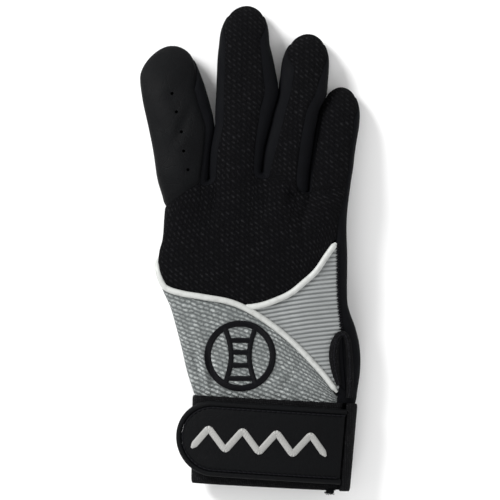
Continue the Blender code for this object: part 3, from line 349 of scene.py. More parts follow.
# Route of the binding round the slit in the cuff: across of HAND_WIDTH, along of HAND_LENGTH,
# width of BINDING_WIDTH
BindingPoint = namedtuple("BindingPoint", "across along width")
SLIT_BINDING = [
    BindingPoint(0.459, 0.048, 0.75),
    BindingPoint(0.450, 0.075, 0.95),
    BindingPoint(0.438, 0.120, 1.20),
    BindingPoint(0.430, 0.180, 1.35),
    BindingPoint(0.436, 0.230, 1.20),
    BindingPoint(0.456, 0.268, 0.95),
    BindingPoint(0.486, 0.272, 0.85),
    BindingPoint(0.504, 0.240, 0.85),
    BindingPoint(0.512, 0.180, 0.90),
    BindingPoint(0.516, 0.110, 0.95),
    BindingPoint(0.516, 0.050, 0.95),
    BindingPoint(0.514, -0.010, 0.95),
]

# How finely each surface is divided
ROOT_COLUMNS = {"index": 24, "middle": 20, "ring": 16, "little": 16}
NOTCH_COLUMNS = 7
SIDE_COLUMNS = 10
HAND_ROWS = 48
FINGER_ROWS = 32
CAP_ROWS = 14
THUMB_COLUMNS = 48
THUMB_ROWS = 36
CUFF_COLUMNS = 90
CUFF_ROWS = 60
RIB_ROWS = 9
RIB_COLUMNS = 60
SLIT_ROWS = 40
SLIT_COLUMNS = 16
BAND_COLUMNS = 200
BAND_ROWS = 44
STRAP_TURNS = 30
STRAP_ROWS = 84
STRAP_COLUMNS = 40
RIM_ROWS = 80
RIM_TURNS = 60
HOOK_ROWS = 60
HOOK_COLUMNS = 48
LONG_PIPING_ROWS = 110
SHORT_PIPING_ROWS = 80
BINDING_ROWS = 120
BINDING_LINE_ROWS = 160
EMBLEM_RING_ROWS = 160
EMBLEM_SEAM_ROWS = 48
SATIN_COLUMNS = 8
STITCH_LINE_ROWS = 120
STITCH_LINE_TURNS = 80
PIPING_SIDES = 20
BINDING_SIDES = 24
HOLE_SIDES = 24
RIM_SIDES = 16
THREAD_SIDES = 6

# A place along a finger, as shares of its body and of its rounded tip
Station = namedtuple("Station", "body cap")
ROOT_STATION = Station(0.0, 0.0)

# Small folds in the fingers: across is a share of the finger's width, along of its length, and the
# rest as in FOLDS, with the width and length shares of the finger's own
FINGER_FOLDS = {
    "index": [
        Fold(-0.02, 0.46, 68.0, 0.060, 0.30, 0.030),
        Fold(0.00, 0.41, 66.0, 0.030, 0.34, -0.050),
        Fold(-0.30, 0.62, 20.0, 0.200, 0.12, 0.026),
        Fold(0.22, 0.16, -12.0, 0.220, 0.14, -0.030),
    ],
    "middle": [
        Fold(0.16, 0.52, 80.0, 0.030, 0.40, -0.034),
        Fold(0.14, 0.30, -15.0, 0.180, 0.14, 0.030),
        Fold(-0.16, 0.12, 10.0, 0.160, 0.12, -0.034),
    ],
    "ring": [
        Fold(0.30, 0.50, 70.0, 0.030, 0.36, -0.036),
        Fold(-0.10, 0.10, -24.0, 0.130, 0.16, -0.040),
        Fold(0.46, 0.34, 15.0, 0.160, 0.12, 0.026),
    ],
    "little": [
        Fold(0.16, 0.52, 76.0, 0.034, 0.40, -0.036),
        Fold(-0.20, 0.16, -20.0, 0.160, 0.16, 0.030),
    ],
}
UNEVEN_HEIGHT = 0.00042
UNEVEN_LENGTH = 0.0165
UNEVEN_FINER = 2.3
UNEVEN_FINER_SHARE = 0.5
UNEVEN_FINER_PLACE = (7, 3, 1)

# How far from its edge a panel starts to roll down into its seam, and how deep
SEAM_ROLL = (0.0017, 0.00045)
KNIT_ROLL = (0.0010, 0.00045)
PAD_ROLL = (0.0030, 0.0010)
STRAP_ROLL = (0.0022, 0.0007)
SHARP_ANGLE = 50.0

# Ribs of the elastic panel
RIB_PITCH = 0.00205
RIB_HEIGHT = 0.00034
RIB_FULLNESS = 0.8
RIB_BOW = 0.0006
RIB_LEFT = 0.0050
RIB_RIGHT = 0.0450
RIB_SLANT = 0.13

# The photograph's frame, and the camera above it
FRAME_SIDE = 0.2400
FRAME_X = -0.00033
FRAME_Y = -0.00097
CAMERA_HEIGHT = 2.4
CAMERA_SENSOR = 0.036

# The pad's perforations, the strap and its hooks
DIMPLE_RADIUS = 0.0019
DIMPLE_DEPTH = 0.00035
STRAP_TUCK = 0.0004
STRAP_CROWN = 0.0004
HOOK_RELIEF = 0.0004

# Satin stitching: its lines, and how far it stands up and sinks in
EMBLEM_SEAM_LINE = 0.0024
THREAD_PITCH = 0.00046
THREAD_RELIEF = 0.00014
SATIN_RAISE = 0.0007
SATIN_EDGE = 0.25
SATIN_SINK = 0.0004

# Stitches. A stitch's heights are in its own thicknesses, from one end to the other.
STITCH_THICK = 0.00032
STITCH_HEIGHTS = (-0.6, 0.5, 0.8, 0.5, -0.6)
STITCH_SPACE = 0.12
STRAP_STITCH = 0.0024
STRAP_STITCH_INSET = 0.0004
STRAP_STITCH_RAISE = 0.0001
SEAM_STITCH = 0.0012
SEAM_STITCH_REACH = 0.0009
SEAM_STITCH_LOW = 0.285
SEAM_STITCH_SLANT = 0.3
SEAM_STITCH_THICK = 0.9
BINDING_STITCH = 0.0020

# Loose threads at the band's corner
FRAY_THREADS = 60
FRAY_ACROSS = 0.0312
FRAY_SPREAD = 0.0013
FRAY_LENGTH = 0.0024
FRAY_TURN = 50.0
FRAY_THICK = 0.00024
FRAY_SEED = 7
FRAY_STEPS = 6
FRAY_DEPTH = 0.0012
FRAY_SHORTEST = 0.4
FRAY_BEND = 1.1
FRAY_LIFT = 0.0006
FRAY_DROP = 0.0008
FRAY_TAPER = 0.5

# The pipings' ends, and the black cloth inside the binding
PIPING_END_ROWS = 3
PIPING_END = 0.2
SHORT_PIPING_TUCK = 0.0042
SHORT_PIPING_SINK = 0.0009
SHORT_PIPING_SINK_LENGTH = 0.0080
SLIT_TOP = 5.4
SLIT_DEPTH = 0.0009
SLIT_PLACE = 0.62
SLIT_WIDTH = 0.10
SLIT_RISE = 0.0010

# Weaves, in millimetres and degrees, with the size and reach of the noise that stirs them
MILLIMETRES = 1000.0
MESH_STIR = (5.0, 1.1)
LEATHER_STIR = (3.0, 0.6)
CREASE_STIR = (9.0, 6.0)
KNIT_STIR = (4.0, 0.3)
WEAVE_STIR = (3.0, 0.25)
BLACK_MESH_TURN = 40.0
GREY_MESH_TURN = 22.0
DASH_PITCH = 3.2
DASH_ROW = 1.95
DASH_WIDE = 1.10
DASH_HIGH = 0.84
DASH_FRAY = 0.55
LEATHER_GRAIN = 1 / 1.5
CREASE_SIZE = 10.0
KNIT_PITCH = 0.55
KNOT_PITCH = 0.62
WEAVE_TURN = 32.0
WEAVE_PITCH = 1.5
WEAVE_ROW = 0.62
WEAVE_STAGGER = 0.37

# The range that noise keeps to, and the depth of the bumps in metres
CLOUD_LOW = 0.3
CLOUD_HIGH = 0.7
MESH_DEPTH = 0.00050
LEATHER_DEPTH = 0.00010
KNIT_DEPTH = 0.00008
KNOT_DEPTH = 0.00012
PIPING_DEPTH = 0.00003
WEAVE_DEPTH = 0.00030
THREAD_DEPTH = 0.00010

# Colours, linear red, green and blue
# Mesh colours: the dash colour is a painted highlight on the raised yarn, in the grey mesh partly also the
# yarn's own paler colour, and the pit colour is painted shade in the hollows and where the fuzz sinks
MESH_GROUND = (0.0040, 0.0040, 0.0048)
MESH_DASH = (0.0150, 0.0150, 0.0165)
MESH_PIT = (0.0015, 0.0015, 0.0019)
GREY_GROUND = (0.200, 0.216, 0.215)
GREY_DASH = (0.480, 0.506, 0.500)
GREY_PIT = (0.075, 0.083, 0.083)
LEATHER_DEEP = (0.0017, 0.0019, 0.0024)
LEATHER_PALE = (0.0022, 0.0025, 0.0031)
# Painted shade in the crevices of the leather's grain
LEATHER_CREVICE_SHADE = (0.0008, 0.0009, 0.0012)
KNIT_DEEP = (0.0016, 0.0018, 0.0026)
KNIT_PALE = (0.0028, 0.0030, 0.0040)
# A painted highlight on the knit's raised loops
KNIT_LOOP = (0.0050, 0.0052, 0.0066)
# The rib colours: painted shade in the grooves and a painted highlight on the ribs
RIB_DEEP = (0.108, 0.115, 0.115)
RIB_PALE = (0.300, 0.312, 0.312)
PIPING_PALE = (0.440, 0.450, 0.436)
PIPING_MARK = (0.350, 0.358, 0.344)
# A painted highlight on the woven elastic's raised yarns
WEBBING_DEEP = (0.0024, 0.0024, 0.0028)
WEBBING_PALE = (0.0300, 0.0303, 0.0325)
# Each thread's deep colour is painted shade between the threads, and its pale colour a painted highlight on
# the raised ones
BLACK_THREAD_DEEP = (0.0010, 0.0010, 0.0014)
BLACK_THREAD = (0.0064, 0.0064, 0.0080)
SILVER_THREAD_DEEP = (0.110, 0.110, 0.106)
SILVER_THREAD = (0.440, 0.440, 0.425)
FLOOR_PAPER = (0.94, 0.94, 0.94)

# The least share of the dash colour that a dash takes is even, and full is how far dashes fill
# their cells
MeshLook = namedtuple("MeshLook", "name turn ground dash pit specular sheen even full")
MESH_LOOKS = [
    MeshLook("mesh_black", BLACK_MESH_TURN, MESH_GROUND, MESH_DASH, MESH_PIT, 0.05, 0.0, 0.25, 0.9),
    MeshLook("mesh_grey", GREY_MESH_TURN, GREY_GROUND, GREY_DASH, GREY_PIT, 0.15, 0.05, 0.55, 1.25),
]
ThreadLook = namedtuple("ThreadLook", "name deep pale specular sheen")
THREAD_LOOKS = [
    ThreadLook("thread_black", BLACK_THREAD_DEEP, BLACK_THREAD, 0.06, 0.0),
    ThreadLook("thread_silver", SILVER_THREAD_DEEP, SILVER_THREAD, 0.40, 0.10),
]

# The studio
FLOOR_SIDE = 6.0
FLOOR_DROP = 0.0002
WORLD_LIGHT = 0.62
Lamp = namedtuple("Lamp", "name x y z size power")
LAMPS = [
    Lamp("key", -1.3, 1.1, 1.15, 0.8, 52.0),
    Lamp("fill", 1.4, 0.2, 1.0, 1.1, 5.0),
    Lamp("back", -0.2, -1.5, 1.0, 1.0, 14.0),
]


def lerp(a, b, t):
    return a + (b - a) * t


def smoothstep(t):
    t = min(max(t, 0.0), 1.0)
    return t * t * (3 - 2 * t)


def clamp(value, low, high):
    return min(max(value, low), high)


def table_value(rows, key, column, at):
    """The column's value at that key, on a smooth curve through the table's rows."""
    keys = [getattr(row, key) for row in rows]
    values = [getattr(row, column) for row in rows]
    return curve_value(keys, values, at)


def curve_value(keys, values, at):
    last = len(keys) - 1
    if at <= keys[0]:
        return values[0]
    if at >= keys[last]:
        return values[last]
    i = max(j for j in range(last) if keys[j] <= at)

    def slope(j):
        a, b = max(j - 1, 0), min(j + 1, last)
        return (values[b] - values[a]) / (keys[b] - keys[a])

    h = keys[i + 1] - keys[i]
    t = (at - keys[i]) / h
    return (
        (2 * t**3 - 3 * t**2 + 1) * values[i]
        + (t**3 - 2 * t**2 + t) * h * slope(i)
        + (-2 * t**3 + 3 * t**2) * values[i + 1]
        + (t**3 - t**2) * h * slope(i + 1)
    )


# The hand's surface


def hand_value(column, y):
    return table_value(HAND, "along", column, y / HAND_LENGTH)


def hand_edges(y):
    return hand_value("left", y) * HAND_WIDTH, hand_value("right", y) * HAND_WIDTH


def rounded_sine(angle, fullness):
    s = math.sin(angle)
    return math.copysign(abs(s) ** fullness, s)


def fold_lift(folds, x, y, width, length):
    """The height of the folds at a place, where width and length are what their shares are of."""
    total = 0.0
    for fold in folds:
        turn = math.radians(fold.turn)
        dx = x - fold.across * width
        dy = y - fold.along * length
        along = (dy * math.cos(turn) - dx * math.sin(turn)) / (fold.length * length)
        across = (dx * math.cos(turn) + dy * math.sin(turn)) / (fold.width * width)
        total += fold.height * math.exp(-along * along - across * across)
    return total


def fold_height(x, y):
    """How far the folds and dents lift the back of the hand at this place."""
    return HAND_THICKNESS * fold_lift(FOLDS, x, y, HAND_WIDTH, HAND_LENGTH)


def finger_fold(finger, x, y):
    """How far the folds lift the finger's back at this place."""
    folds = FINGER_FOLDS[finger.name]
    return FINGER_THICKNESS * fold_lift(folds, x - finger.x, y - finger.y, finger.width, finger.length)


def soft_height(x, y):
    """The unevenness of cloth that lies loose over nothing."""
    place = Vector((x, y, 0.0)) / UNEVEN_LENGTH
    finer = noise.noise(place * UNEVEN_FINER + Vector(UNEVEN_FINER_PLACE))
    return UNEVEN_HEIGHT * (noise.noise(place) + UNEVEN_FINER_SHARE * finer)


def hand_point(degrees, y, grow=0.0):
    left, right = hand_edges(y)
    angle = math.radians(degrees)
    half = (right - left) / 2 + grow
    x = (left + right) / 2 - half * math.cos(angle)
    thick = hand_value("thickness", y) * HAND_THICKNESS / 2
    lean = SIDE_DROP * smoothstep(y / KNUCKLE_START) * x / (HAND_WIDTH / 2)
    middle = hand_value("lift", y) * PALM_LIFT + thick - lean
    z = middle + (thick + grow) * rounded_sine(angle, HAND_FULLNESS)
    if math.sin(angle) > 0:
        z += (fold_height(x, y) + soft_height(x, y)) * math.sin(angle)
    return Vector((x, y, max(z, -grow)))


def angle_at(x, y):
    """The angle at which the back of the hand is at this x."""
    left, right = hand_edges(y)
    share = ((left + right) / 2 - x) / ((right - left) / 2)
    return math.degrees(math.acos(clamp(share, -1.0, 1.0)))


def strip_angle(y):
    """The angle of the seam between the back of the hand and the side strip."""
    left, right = hand_edges(y)
    share = hand_value("seam", y) * HAND_WIDTH / (right - left)
    return 180.0 - math.degrees(math.acos(1 - 2 * share))


# The fingers' surfaces


def cap_share(finger, y):
    """0 along the finger's body, rising to 1 at its tip."""
    start = finger.y + finger.cap * finger.length
    return clamp((y - start) / ((1 - finger.cap) * finger.length), 0.0, 1.0)


def cap_round(finger, y):
    return math.sqrt(1 - cap_share(finger, y) ** 2)


def body_half(finger, y):
    """Half the finger's width there, before its tip is rounded."""
    along = (y - finger.y) / finger.length
    return table_value(finger.rows, "along", "width", along) * finger.width / 2


def raw_edges(finger, y):
    along = (y - finger.y) / finger.length
    centre = finger.x + table_value(finger.rows, "along", "centre", along) * finger.width
    half = body_half(finger, y) * cap_round(finger, y)
    return centre - half, centre + half


def tip_y(finger):
    return finger.y + finger.length


def finger_edges(finger, y):
    """The finger's left and right edges, kept off its neighbours and flush with the hand."""
    number = FINGERS.index(finger)
    left, right = raw_edges(finger, y)
    if number == 0:
        root = finger.root_left
        shift = hand_edges(root)[0] - raw_edges(finger, root)[0]
        left += shift * (1 - smoothstep((y - root) / (finger.width / 2)))
    else:
        beside = FINGERS[number - 1]
        other = raw_edges(beside, y)[1]
        if y < beside.touches or (y < tip_y(beside) and other + FINGER_GAP > left):
            left = (other + left + FINGER_GAP) / 2
    if number == len(FINGERS) - 1:
        root = finger.root_right
        shift = hand_edges(root)[1] - raw_edges(finger, root)[1]
        right += shift * (1 - smoothstep((y - root) / (finger.width / 2)))
    else:
        beside = FINGERS[number + 1]
        other = raw_edges(beside, y)[0]
        if y < finger.touches or (y < tip_y(beside) and other - FINGER_GAP < right):
            right = (other + right - FINGER_GAP) / 2
    return left, right


def body_thickness(finger, y):
    """Half the finger's thickness there, before its tip is rounded."""
    share = clamp((y - finger.root_right) / (tip_y(finger) - finger.root_right), 0.0, 1.0)
    return lerp(FINGER_THICKNESS, FINGERTIP_THICKNESS, share) / 2


def finger_height(finger, y):
    """The height of the finger's middle, which droops from the hand to the floor."""
    root = finger.y
    base = hand_value("lift", root) * PALM_LIFT + hand_value("thickness", root) * HAND_THICKNESS / 2
    base -= SIDE_DROP * finger.x / (HAND_WIDTH / 2)
    tip = FINGERTIP_THICKNESS / 2 - FLOOR_FLAT
    share = clamp((y - root) / finger.length, 0.0, 1.0)
    return lerp(base, tip, share**DROOP)


def root_y(finger, degrees):
    """Where the finger begins at this angle: its root slants from one crotch to the next."""
    across = (1 - math.cos(math.radians(degrees))) / 2
    return lerp(finger.root_left, finger.root_right, across)


def finger_stations(end=1.0):
    """Places from root to tip: shares of the body, then of the rounded tip."""
    body = [Station(i / FINGER_ROWS, 0.0) for i in range(FINGER_ROWS)]
    quarter = math.pi / 2
    tip = [Station(1.0, end * math.sin(quarter * i / CAP_ROWS)) for i in range(CAP_ROWS + 1)]
    return body + tip


def station_y(finger, degrees, station):
    start = finger.y + finger.cap * finger.length
    body = lerp(root_y(finger, degrees), start, station.body)
    return body + station.cap * (1 - finger.cap) * finger.length


def finger_point(finger, degrees, station, inset=0.0, shift=0.0):
    """A point of the finger, at a depth of inset inside its surface and shifted up."""
    y = station_y(finger, degrees, station)
    left, right = finger_edges(finger, y)
    half = (right - left) / 2 * (1 - inset / body_half(finger, y))
    thick = (body_thickness(finger, y) - inset) * cap_round(finger, y)
    angle = math.radians(degrees)
    x = (left + right) / 2 - half * math.cos(angle)
    z = finger_height(finger, y) + thick * rounded_sine(angle, FINGER_FULLNESS) + shift
    if math.sin(angle) > 0:
        z += (finger_fold(finger, x, y) + soft_height(x, y)) * math.sin(angle)
    return Vector((x, y - station.cap * inset, max(z, inset)))


def seam_closing(finger, y):
    """1 along the finger, falling to 0 where the seams meet the tip."""
    return 1 - clamp(cap_share(finger, y) / SEAM_CLOSES, 0.0, 1.0)


def seam_angle(finger, side, y):
    """The seam's angle up from the finger's edge on the back."""
    along = (y - finger.y) / finger.length
    return table_value(finger.rows, "along", side, along) * seam_closing(finger, y)


def palm_seam_angle(finger, side, y):
    """The seam's angle down from the finger's edge on the palm side."""
    outer = side == "left_seam" and finger.name == "index"
    return (WRAP_ANGLE if outer else PALM_SEAM_ANGLE) * seam_closing(finger, y)


def panel_angles(finger, y, face):
    """The first and last angle of the back's panel (face 1) or the palm's (face -1)."""
    if face > 0:
        first = seam_angle(finger, "left_seam", y)
        last = 180 - seam_angle(finger, "right_seam", y)
    else:
        first = -palm_seam_angle(finger, "left_seam", y)
        last = -180 + palm_seam_angle(finger, "right_seam", y)
    return first + face * FINGER_TRIM, last - face * FINGER_TRIM


def panel_point(finger, share, station, face, inset=0.0):
    """A point of the finger's panel, at a share of the way across it."""
    middle = station_y(finger, 90, station)
    first, last = panel_angles(finger, middle, face)
    y = station_y(finger, lerp(first, last, share), station)
    first, last = panel_angles(finger, y, face)
    return finger_point(finger, lerp(first, last, share), station, inset, face * GAP / 2)


# The row of points where the hand meets the fingers


def notch_points(a, b, drop):
    """Points of the rounded end of a notch, from a to b, without a and b."""
    found = []
    half = (b - a).length / 2
    for i in range(1, NOTCH_COLUMNS + 1):
        turn = math.pi * i / (NOTCH_COLUMNS + 1)
        point = a.lerp(b, (1 - math.cos(turn)) / 2)
        point.y -= half * CROTCH_ROUND * math.sin(turn) + drop
        found.append(point)
    return found


def root_row(face, inset):
    """The hand's last row of points on the back (face 1) or the palm (face -1)."""
    row = []
    for finger in FINGERS:
        count = ROOT_COLUMNS[finger.name]
        shares = [i / count for i in range(count + 1)]
        points = [panel_point(finger, share, ROOT_STATION, face, inset) for share in shares]
        if row:
            row += notch_points(row[-1], points[0], GAP)
        row += points
    return row


def left_angle(face):
    """The edge of the back's or the palm's panel where they meet along the left side."""
    return -WRAP_ANGLE + face * HAND_TRIM


def right_angle(face, y):
    """The edge of the back's or the palm's panel beside the side strip."""
    if face > 0:
        return strip_angle(y) - HAND_TRIM
    return -180 + PALM_SEAM_ANGLE + HAND_TRIM


def root_angles(face, row):
    """The angle round the hand that leads to each point of the root row."""
    found = [face * angle_at(point.x, point.y) for point in row]
    found[0] = left_angle(face)
    found[-1] = right_angle(face, row[-1].y)
    for i in range(1, len(found) - 1):
        low, high = sorted((found[i - 1] + face, found[-1]))
        found[i] = clamp(found[i], low, high)
    return found


def column_angle(face, i, y):
    """The angle of the hand's column at this y. The last column follows the side strip's seam."""
    first, last = ROOT_ANGLE[face][0], ROOT_ANGLE[face][-1]
    share = (ROOT_ANGLE[face][i] - first) / (last - first)
    return lerp(left_angle(face), right_angle(face, y), share)


def knuckle_weight(y, top):
    return smoothstep((y - KNUCKLE_START) / (top - KNUCKLE_START))


def column_point(face, i, y, inset=0.0):
    """A point of the hand's column, which runs smoothly into its place on the root row."""
    target = ROOT[face, inset][i]
    offset = target - hand_point(ROOT_ANGLE[face][i], target.y, -inset)
    offset.y = 0.0
    return hand_point(column_angle(face, i, y), y, -inset) + offset * knuckle_weight(y, target.y)


def back_point(degrees, y, inset=0.0):
    """A point of the back of the hand between its columns, or above it for a negative inset."""
    base = hand_point(degrees, y, -inset)
    if y < KNUCKLE_START:
        return base
    first, last = left_angle(1), right_angle(1, y)
    ends = ROOT_ANGLE[1][0], ROOT_ANGLE[1][-1]
    angles = [lerp(first, last, (at - ends[0]) / (ends[1] - ends[0])) for at in ROOT_ANGLE[1]]
    for i in range(len(angles) - 1):
        if angles[i] <= degrees <= angles[i + 1]:
            share = (degrees - angles[i]) / (angles[i + 1] - angles[i])
            lifts = [column_point(1, k, y) - hand_point(angles[k], y) for k in (i, i + 1)]
            return base + lifts[0].lerp(lifts[1], share)
    return base


# Lines across the back of the hand, as the y where each crosses an angle


def wrist_line(degrees):
    """The cuff seam, which slants with the wrist band."""
    slope = math.tan(math.radians(BAND_TILT))
    y = 0.0
    for _ in range(SETTLE_TRIES):
        y = -slope * (hand_point(degrees, y).x - hand_edges(0.0)[0])
    return y + GAP


def line_y(points, degrees):
    """Where the piping's line crosses this angle. It climbs as it goes round the left edge."""
    keys = [point.across * HAND_WIDTH for point in points]
    values = [point.along * HAND_LENGTH for point in points]
    y = values[0]
    for _ in range(SETTLE_TRIES + 1):
        y = curve_value(keys, values, hand_point(max(degrees, 0.0), y).x)
    return y + EDGE_CLIMB * smoothstep((EDGE_TURN - degrees) / (EDGE_TURN + WRAP_ANGLE))


def beside_piping(points, degrees, side):
    """The y of a panel's edge that runs beside the piping, clear of it."""
    y = line_y(points, degrees)
    run = (hand_point(degrees + 1, y) - hand_point(degrees - 1, y)).length
    slope = (line_y(points, degrees + 1) - line_y(points, degrees - 1)) / run
    return y + side * (PIPING_DIAMETER / 2 + PIPING_GAP) * math.sqrt(1 + slope * slope)


def sampled(edge):
    """The same line across the back, read between samples of it so that it is quick to ask for."""
    values = [edge(-EDGE_SAMPLE_START + i * EDGE_SAMPLE) for i in range(EDGE_SAMPLES + 1)]

    def between(degrees):
        at = clamp((degrees + EDGE_SAMPLE_START) / EDGE_SAMPLE, 0.0, EDGE_SAMPLES - 1e-6)
        i = int(at)
        return lerp(values[i], values[i + 1], at - i)

    return between


def first_angle(start, step, fits):
    """The first angle that fits, in steps from start."""
    tried = [start + i * step for i in range(ANGLE_TRIES)]
    return next((degrees for degrees in tried if fits(degrees)), start)


def start_angle(points, earlier=0.0):
    first = points[0]
    return angle_at(first.across * HAND_WIDTH - earlier, first.along * HAND_LENGTH)


def back_edge(degrees):
    """The lower edge of the black mesh, above whichever piping is higher."""
    low = beside_piping(LONG_PIPING, degrees, 1)
    if degrees > start_angle(SHORT_PIPING, 2 * PIPING_DIAMETER):
        low = max(low, beside_piping(SHORT_PIPING, degrees, 1))
    return low


# Placing


def glove_shift():
    """From the glove's own frame to the one that its solids stand in."""
    tip = max(frame["nodes"]["back_mesh_panel"].data.vertices, key=lambda vert: vert.co.y).co
    shift = tip - finger_point(FINGERS[1], 90, Station(1.0, 1.0))
    return Vector((shift.x, shift.y, 0.0))


# Mesh pieces


def cloth_places(rows):
    """Where each point of a grid lies on the flat cloth: across it, and along the glove."""
    across = []
    for row in rows:
        middle = len(row) // 2
        values = [0.0] * len(row)
        values[middle] = row[middle].x
        for i in range(middle + 1, len(row)):
            values[i] = values[i - 1] + (row[i] - row[i - 1]).length
        for i in range(middle - 1, -1, -1):
            values[i] = values[i + 1] - (row[i + 1] - row[i]).length
        across.append(values)
    along = [[point.y for point in rows[0]]]
    for below, above in zip(rows, rows[1:]):
        steps = [(b - a).length for a, b in zip(below, above)]
        along.append([value + step for value, step in zip(along[-1], steps)])
    return [
        [Vector((u, v, 0.0)) for u, v in zip(us, vs)] for us, vs in zip(across, along)
    ]


def add_grid(mesh, rows, places=None):
    """Adds a grid of points with its faces, and returns its vertices row by row."""
    cloth = mesh.verts.layers.float_vector.get("cloth")
    made = [[mesh.verts.new(point) for point in row] for row in rows]
    for verts, row in zip(made, places or cloth_places(rows)):
        for vert, place in zip(verts, row):
            vert[cloth] = place
    for a, b in zip(made, made[1:]):
        for i in range(len(a) - 1):
            mesh.faces.new((a[i], a[i + 1], b[i + 1], b[i]))
    return made


def new_mesh():
    """An empty mesh whose points hold their place on the flat cloth, and how high their thread lies, from
    which the looks paint shade and highlight.
    """
    mesh = bmesh.new()
    mesh.verts.layers.float_vector.new("cloth")
    mesh.verts.layers.float.new("relief")
    return mesh


def mesh_piece(name, mesh, look):
    """Makes a piece of the mesh, moved to where the solids stand, with its look."""
    data = bpy.data.meshes.new(name)
    mesh.to_mesh(data)
    mesh.free()
    data.shade_smooth()
    data.set_sharp_from_angle(angle=math.radians(SHARP_ANGLE))
    data.materials.append(LOOKS[look])
    data.transform(Matrix.Translation(SHIFT))
    made = bpy.data.objects.new(name, data)
    bpy.context.scene.collection.objects.link(made)
    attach(made, "root")
    return made


def roll_edges(mesh, inner_place, width, depth):
    """Sinks the panel's edges towards its inner face, so that they roll down into the seams."""
    edge_verts = {vert for edge in mesh.edges if edge.is_boundary for vert in edge.verts}
    tree = KDTree(len(edge_verts))
    for number, vert in enumerate(edge_verts):
        tree.insert(vert.co, number)
    tree.balance()
    moves = {}
    for vert in mesh.verts:
        near = tree.find(vert.co)[2]
        if near < width:
            inward = vert[inner_place] - vert.co
            if inward.length > 0:
                moves[vert] = inward.normalized() * depth * (1 - near / width) ** 2
    for vert, move in moves.items():
        vert.co += move


def close_shell(mesh, inner_place):
    """Adds the inner face of an open surface, and the rim between the two."""
    cloth = mesh.verts.layers.float_vector.get("cloth")
    outer_faces = list(mesh.faces)
    rim = [edge.link_loops[0] for edge in mesh.edges if edge.is_boundary]
    ends = [(loop.vert, loop.link_loop_next.vert) for loop in rim]
    twins = {}
    for vert in list(mesh.verts):
        twin = mesh.verts.new(vert[inner_place])
        twin[cloth] = vert[cloth]
        twins[vert] = twin
    for face in outer_faces:
        mesh.faces.new([twins[vert] for vert in reversed(face.verts)])
    for a, b in ends:
        mesh.faces.new((b, a, twins[a], twins[b]))
    bmesh.ops.recalc_face_normals(mesh, faces=mesh.faces)


def panel(name, blocks_at, wall, look, proud=0.0, roll=SEAM_ROLL, shape=None):
    """A closed loft. blocks_at(inset) gives its grids of points at a depth inside the surface.

    Its outer face stands proud of the surface and its inner face is a wall deeper. shape, if
    given, takes the outer face's mesh before its edges roll down.
    """
    mesh = new_mesh()
    inner_place = mesh.verts.layers.float_vector.new("inner_place")
    for outer, inner in zip(blocks_at(-proud), blocks_at(wall - proud)):
        for verts, points in zip(add_grid(mesh, outer), inner):
            for vert, point in zip(verts, points):
                vert[inner_place] = point
    bmesh.ops.remove_doubles(mesh, verts=mesh.verts, dist=WELD)
    if shape:
        shape(mesh, inner_place)
    roll_edges(mesh, inner_place, *roll)
    close_shell(mesh, inner_place)
    return mesh_piece(name, mesh, look)


def sheet(name, rows, wall, look, roll=None):
    """A grid made solid on the side away from its normals."""
    mesh = new_mesh()
    add_grid(mesh, rows)
    bmesh.ops.remove_doubles(mesh, verts=mesh.verts, dist=WELD)
    mesh.normal_update()
    inner_place = mesh.verts.layers.float_vector.new("inner_place")
    for vert in mesh.verts:
        vert[inner_place] = vert.co - vert.normal * wall
    if roll:
        roll_edges(mesh, inner_place, *roll)
    close_shell(mesh, inner_place)
    return mesh_piece(name, mesh, look)


def route_frames(route, up_at):
    """For each point of a route: itself, and the directions across it and up from what carries it."""
    frames = []
    for i, point in enumerate(route):
        ahead = route[min(i + 1, len(route) - 1)] - route[max(i - 1, 0)]
        across = ahead.cross(up_at(i)).normalized()
        frames.append((point, across, across.cross(ahead).normalized()))
    return frames


def add_rope(mesh, route, half_at, sides=12, up_at=lambda i: Vector((0, 0, 1)), flat=1.0):
    """A closed tube along a route. half_at(share) gives its half width, of which its height is flat."""
    frames = route_frames(route, up_at)
    run = 0.0
    rows, places = [], []
    last = len(frames) - 1
    for i, (point, across, up) in enumerate(frames):
        run += (point - frames[max(i - 1, 0)][0]).length
        half = half_at(i / last)
        angles = [2 * math.pi * k / sides for k in range(sides + 1)]
        rows.append([
            point + across * half * math.cos(angle) + up * half * flat * math.sin(angle)
            for angle in angles
        ])
        places.append([Vector((half * angle, run, 0.0)) for angle in angles])
    made = add_grid(mesh, rows, places)
    for ring in (made[0], made[-1]):
        mesh.faces.new(ring[:-1])
    return made


def close_ropes(mesh):
    bmesh.ops.remove_doubles(mesh, verts=mesh.verts, dist=1e-6)
    bmesh.ops.recalc_face_normals(mesh, faces=mesh.faces)


def resample(points, step):
    """Points at even steps along a line of points."""
    found = [points[0].copy()]
    left = step
    for a, b in zip(points, points[1:]):
        length = (b - a).length
        done = 0.0
        while length - done >= left:
            done += left
            found.append(a.lerp(b, done / length))
            left = step
        left -= length - done
    return found


# The hand's panels


def hand_rows(face, low_edge, inset):
    """Rows of the hand from low_edge, which takes an angle, up to the root row."""
    lows = []
    for i in range(len(ROOT_ANGLE[face])):
        y = 0.0
        for _ in range(SETTLE_TRIES):
            y = low_edge(column_angle(face, i, y))
        lows.append(y)
    highs = [point.y for point in ROOT[face, inset]]
    grid = []
    for j in range(HAND_ROWS):
        ys = [lerp(low, high, j / HAND_ROWS) for low, high in zip(lows, highs)]
        grid.append([column_point(face, i, y, inset) for i, y in enumerate(ys)])
    return grid + [[point.copy() for point in ROOT[face, inset]]]


def finger_rows(finger, face, inset):
    count = ROOT_COLUMNS[finger.name]
    shares = [i / count for i in range(count + 1)]
    return [
        [panel_point(finger, share, station, face, inset) for share in shares]
        for station in finger_stations()
    ]


def back_mesh():
    """The black mesh of the back of the hand and of three fingers."""
    low = sampled(back_edge)

    def blocks_at(inset):
        return [hand_rows(1, low, inset)] + [finger_rows(f, 1, inset) for f in FINGERS[1:]]

    made = panel("back_mesh_cloth", blocks_at, MESH_WALL, "mesh_black")
    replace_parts(made, "back_mesh_panel")


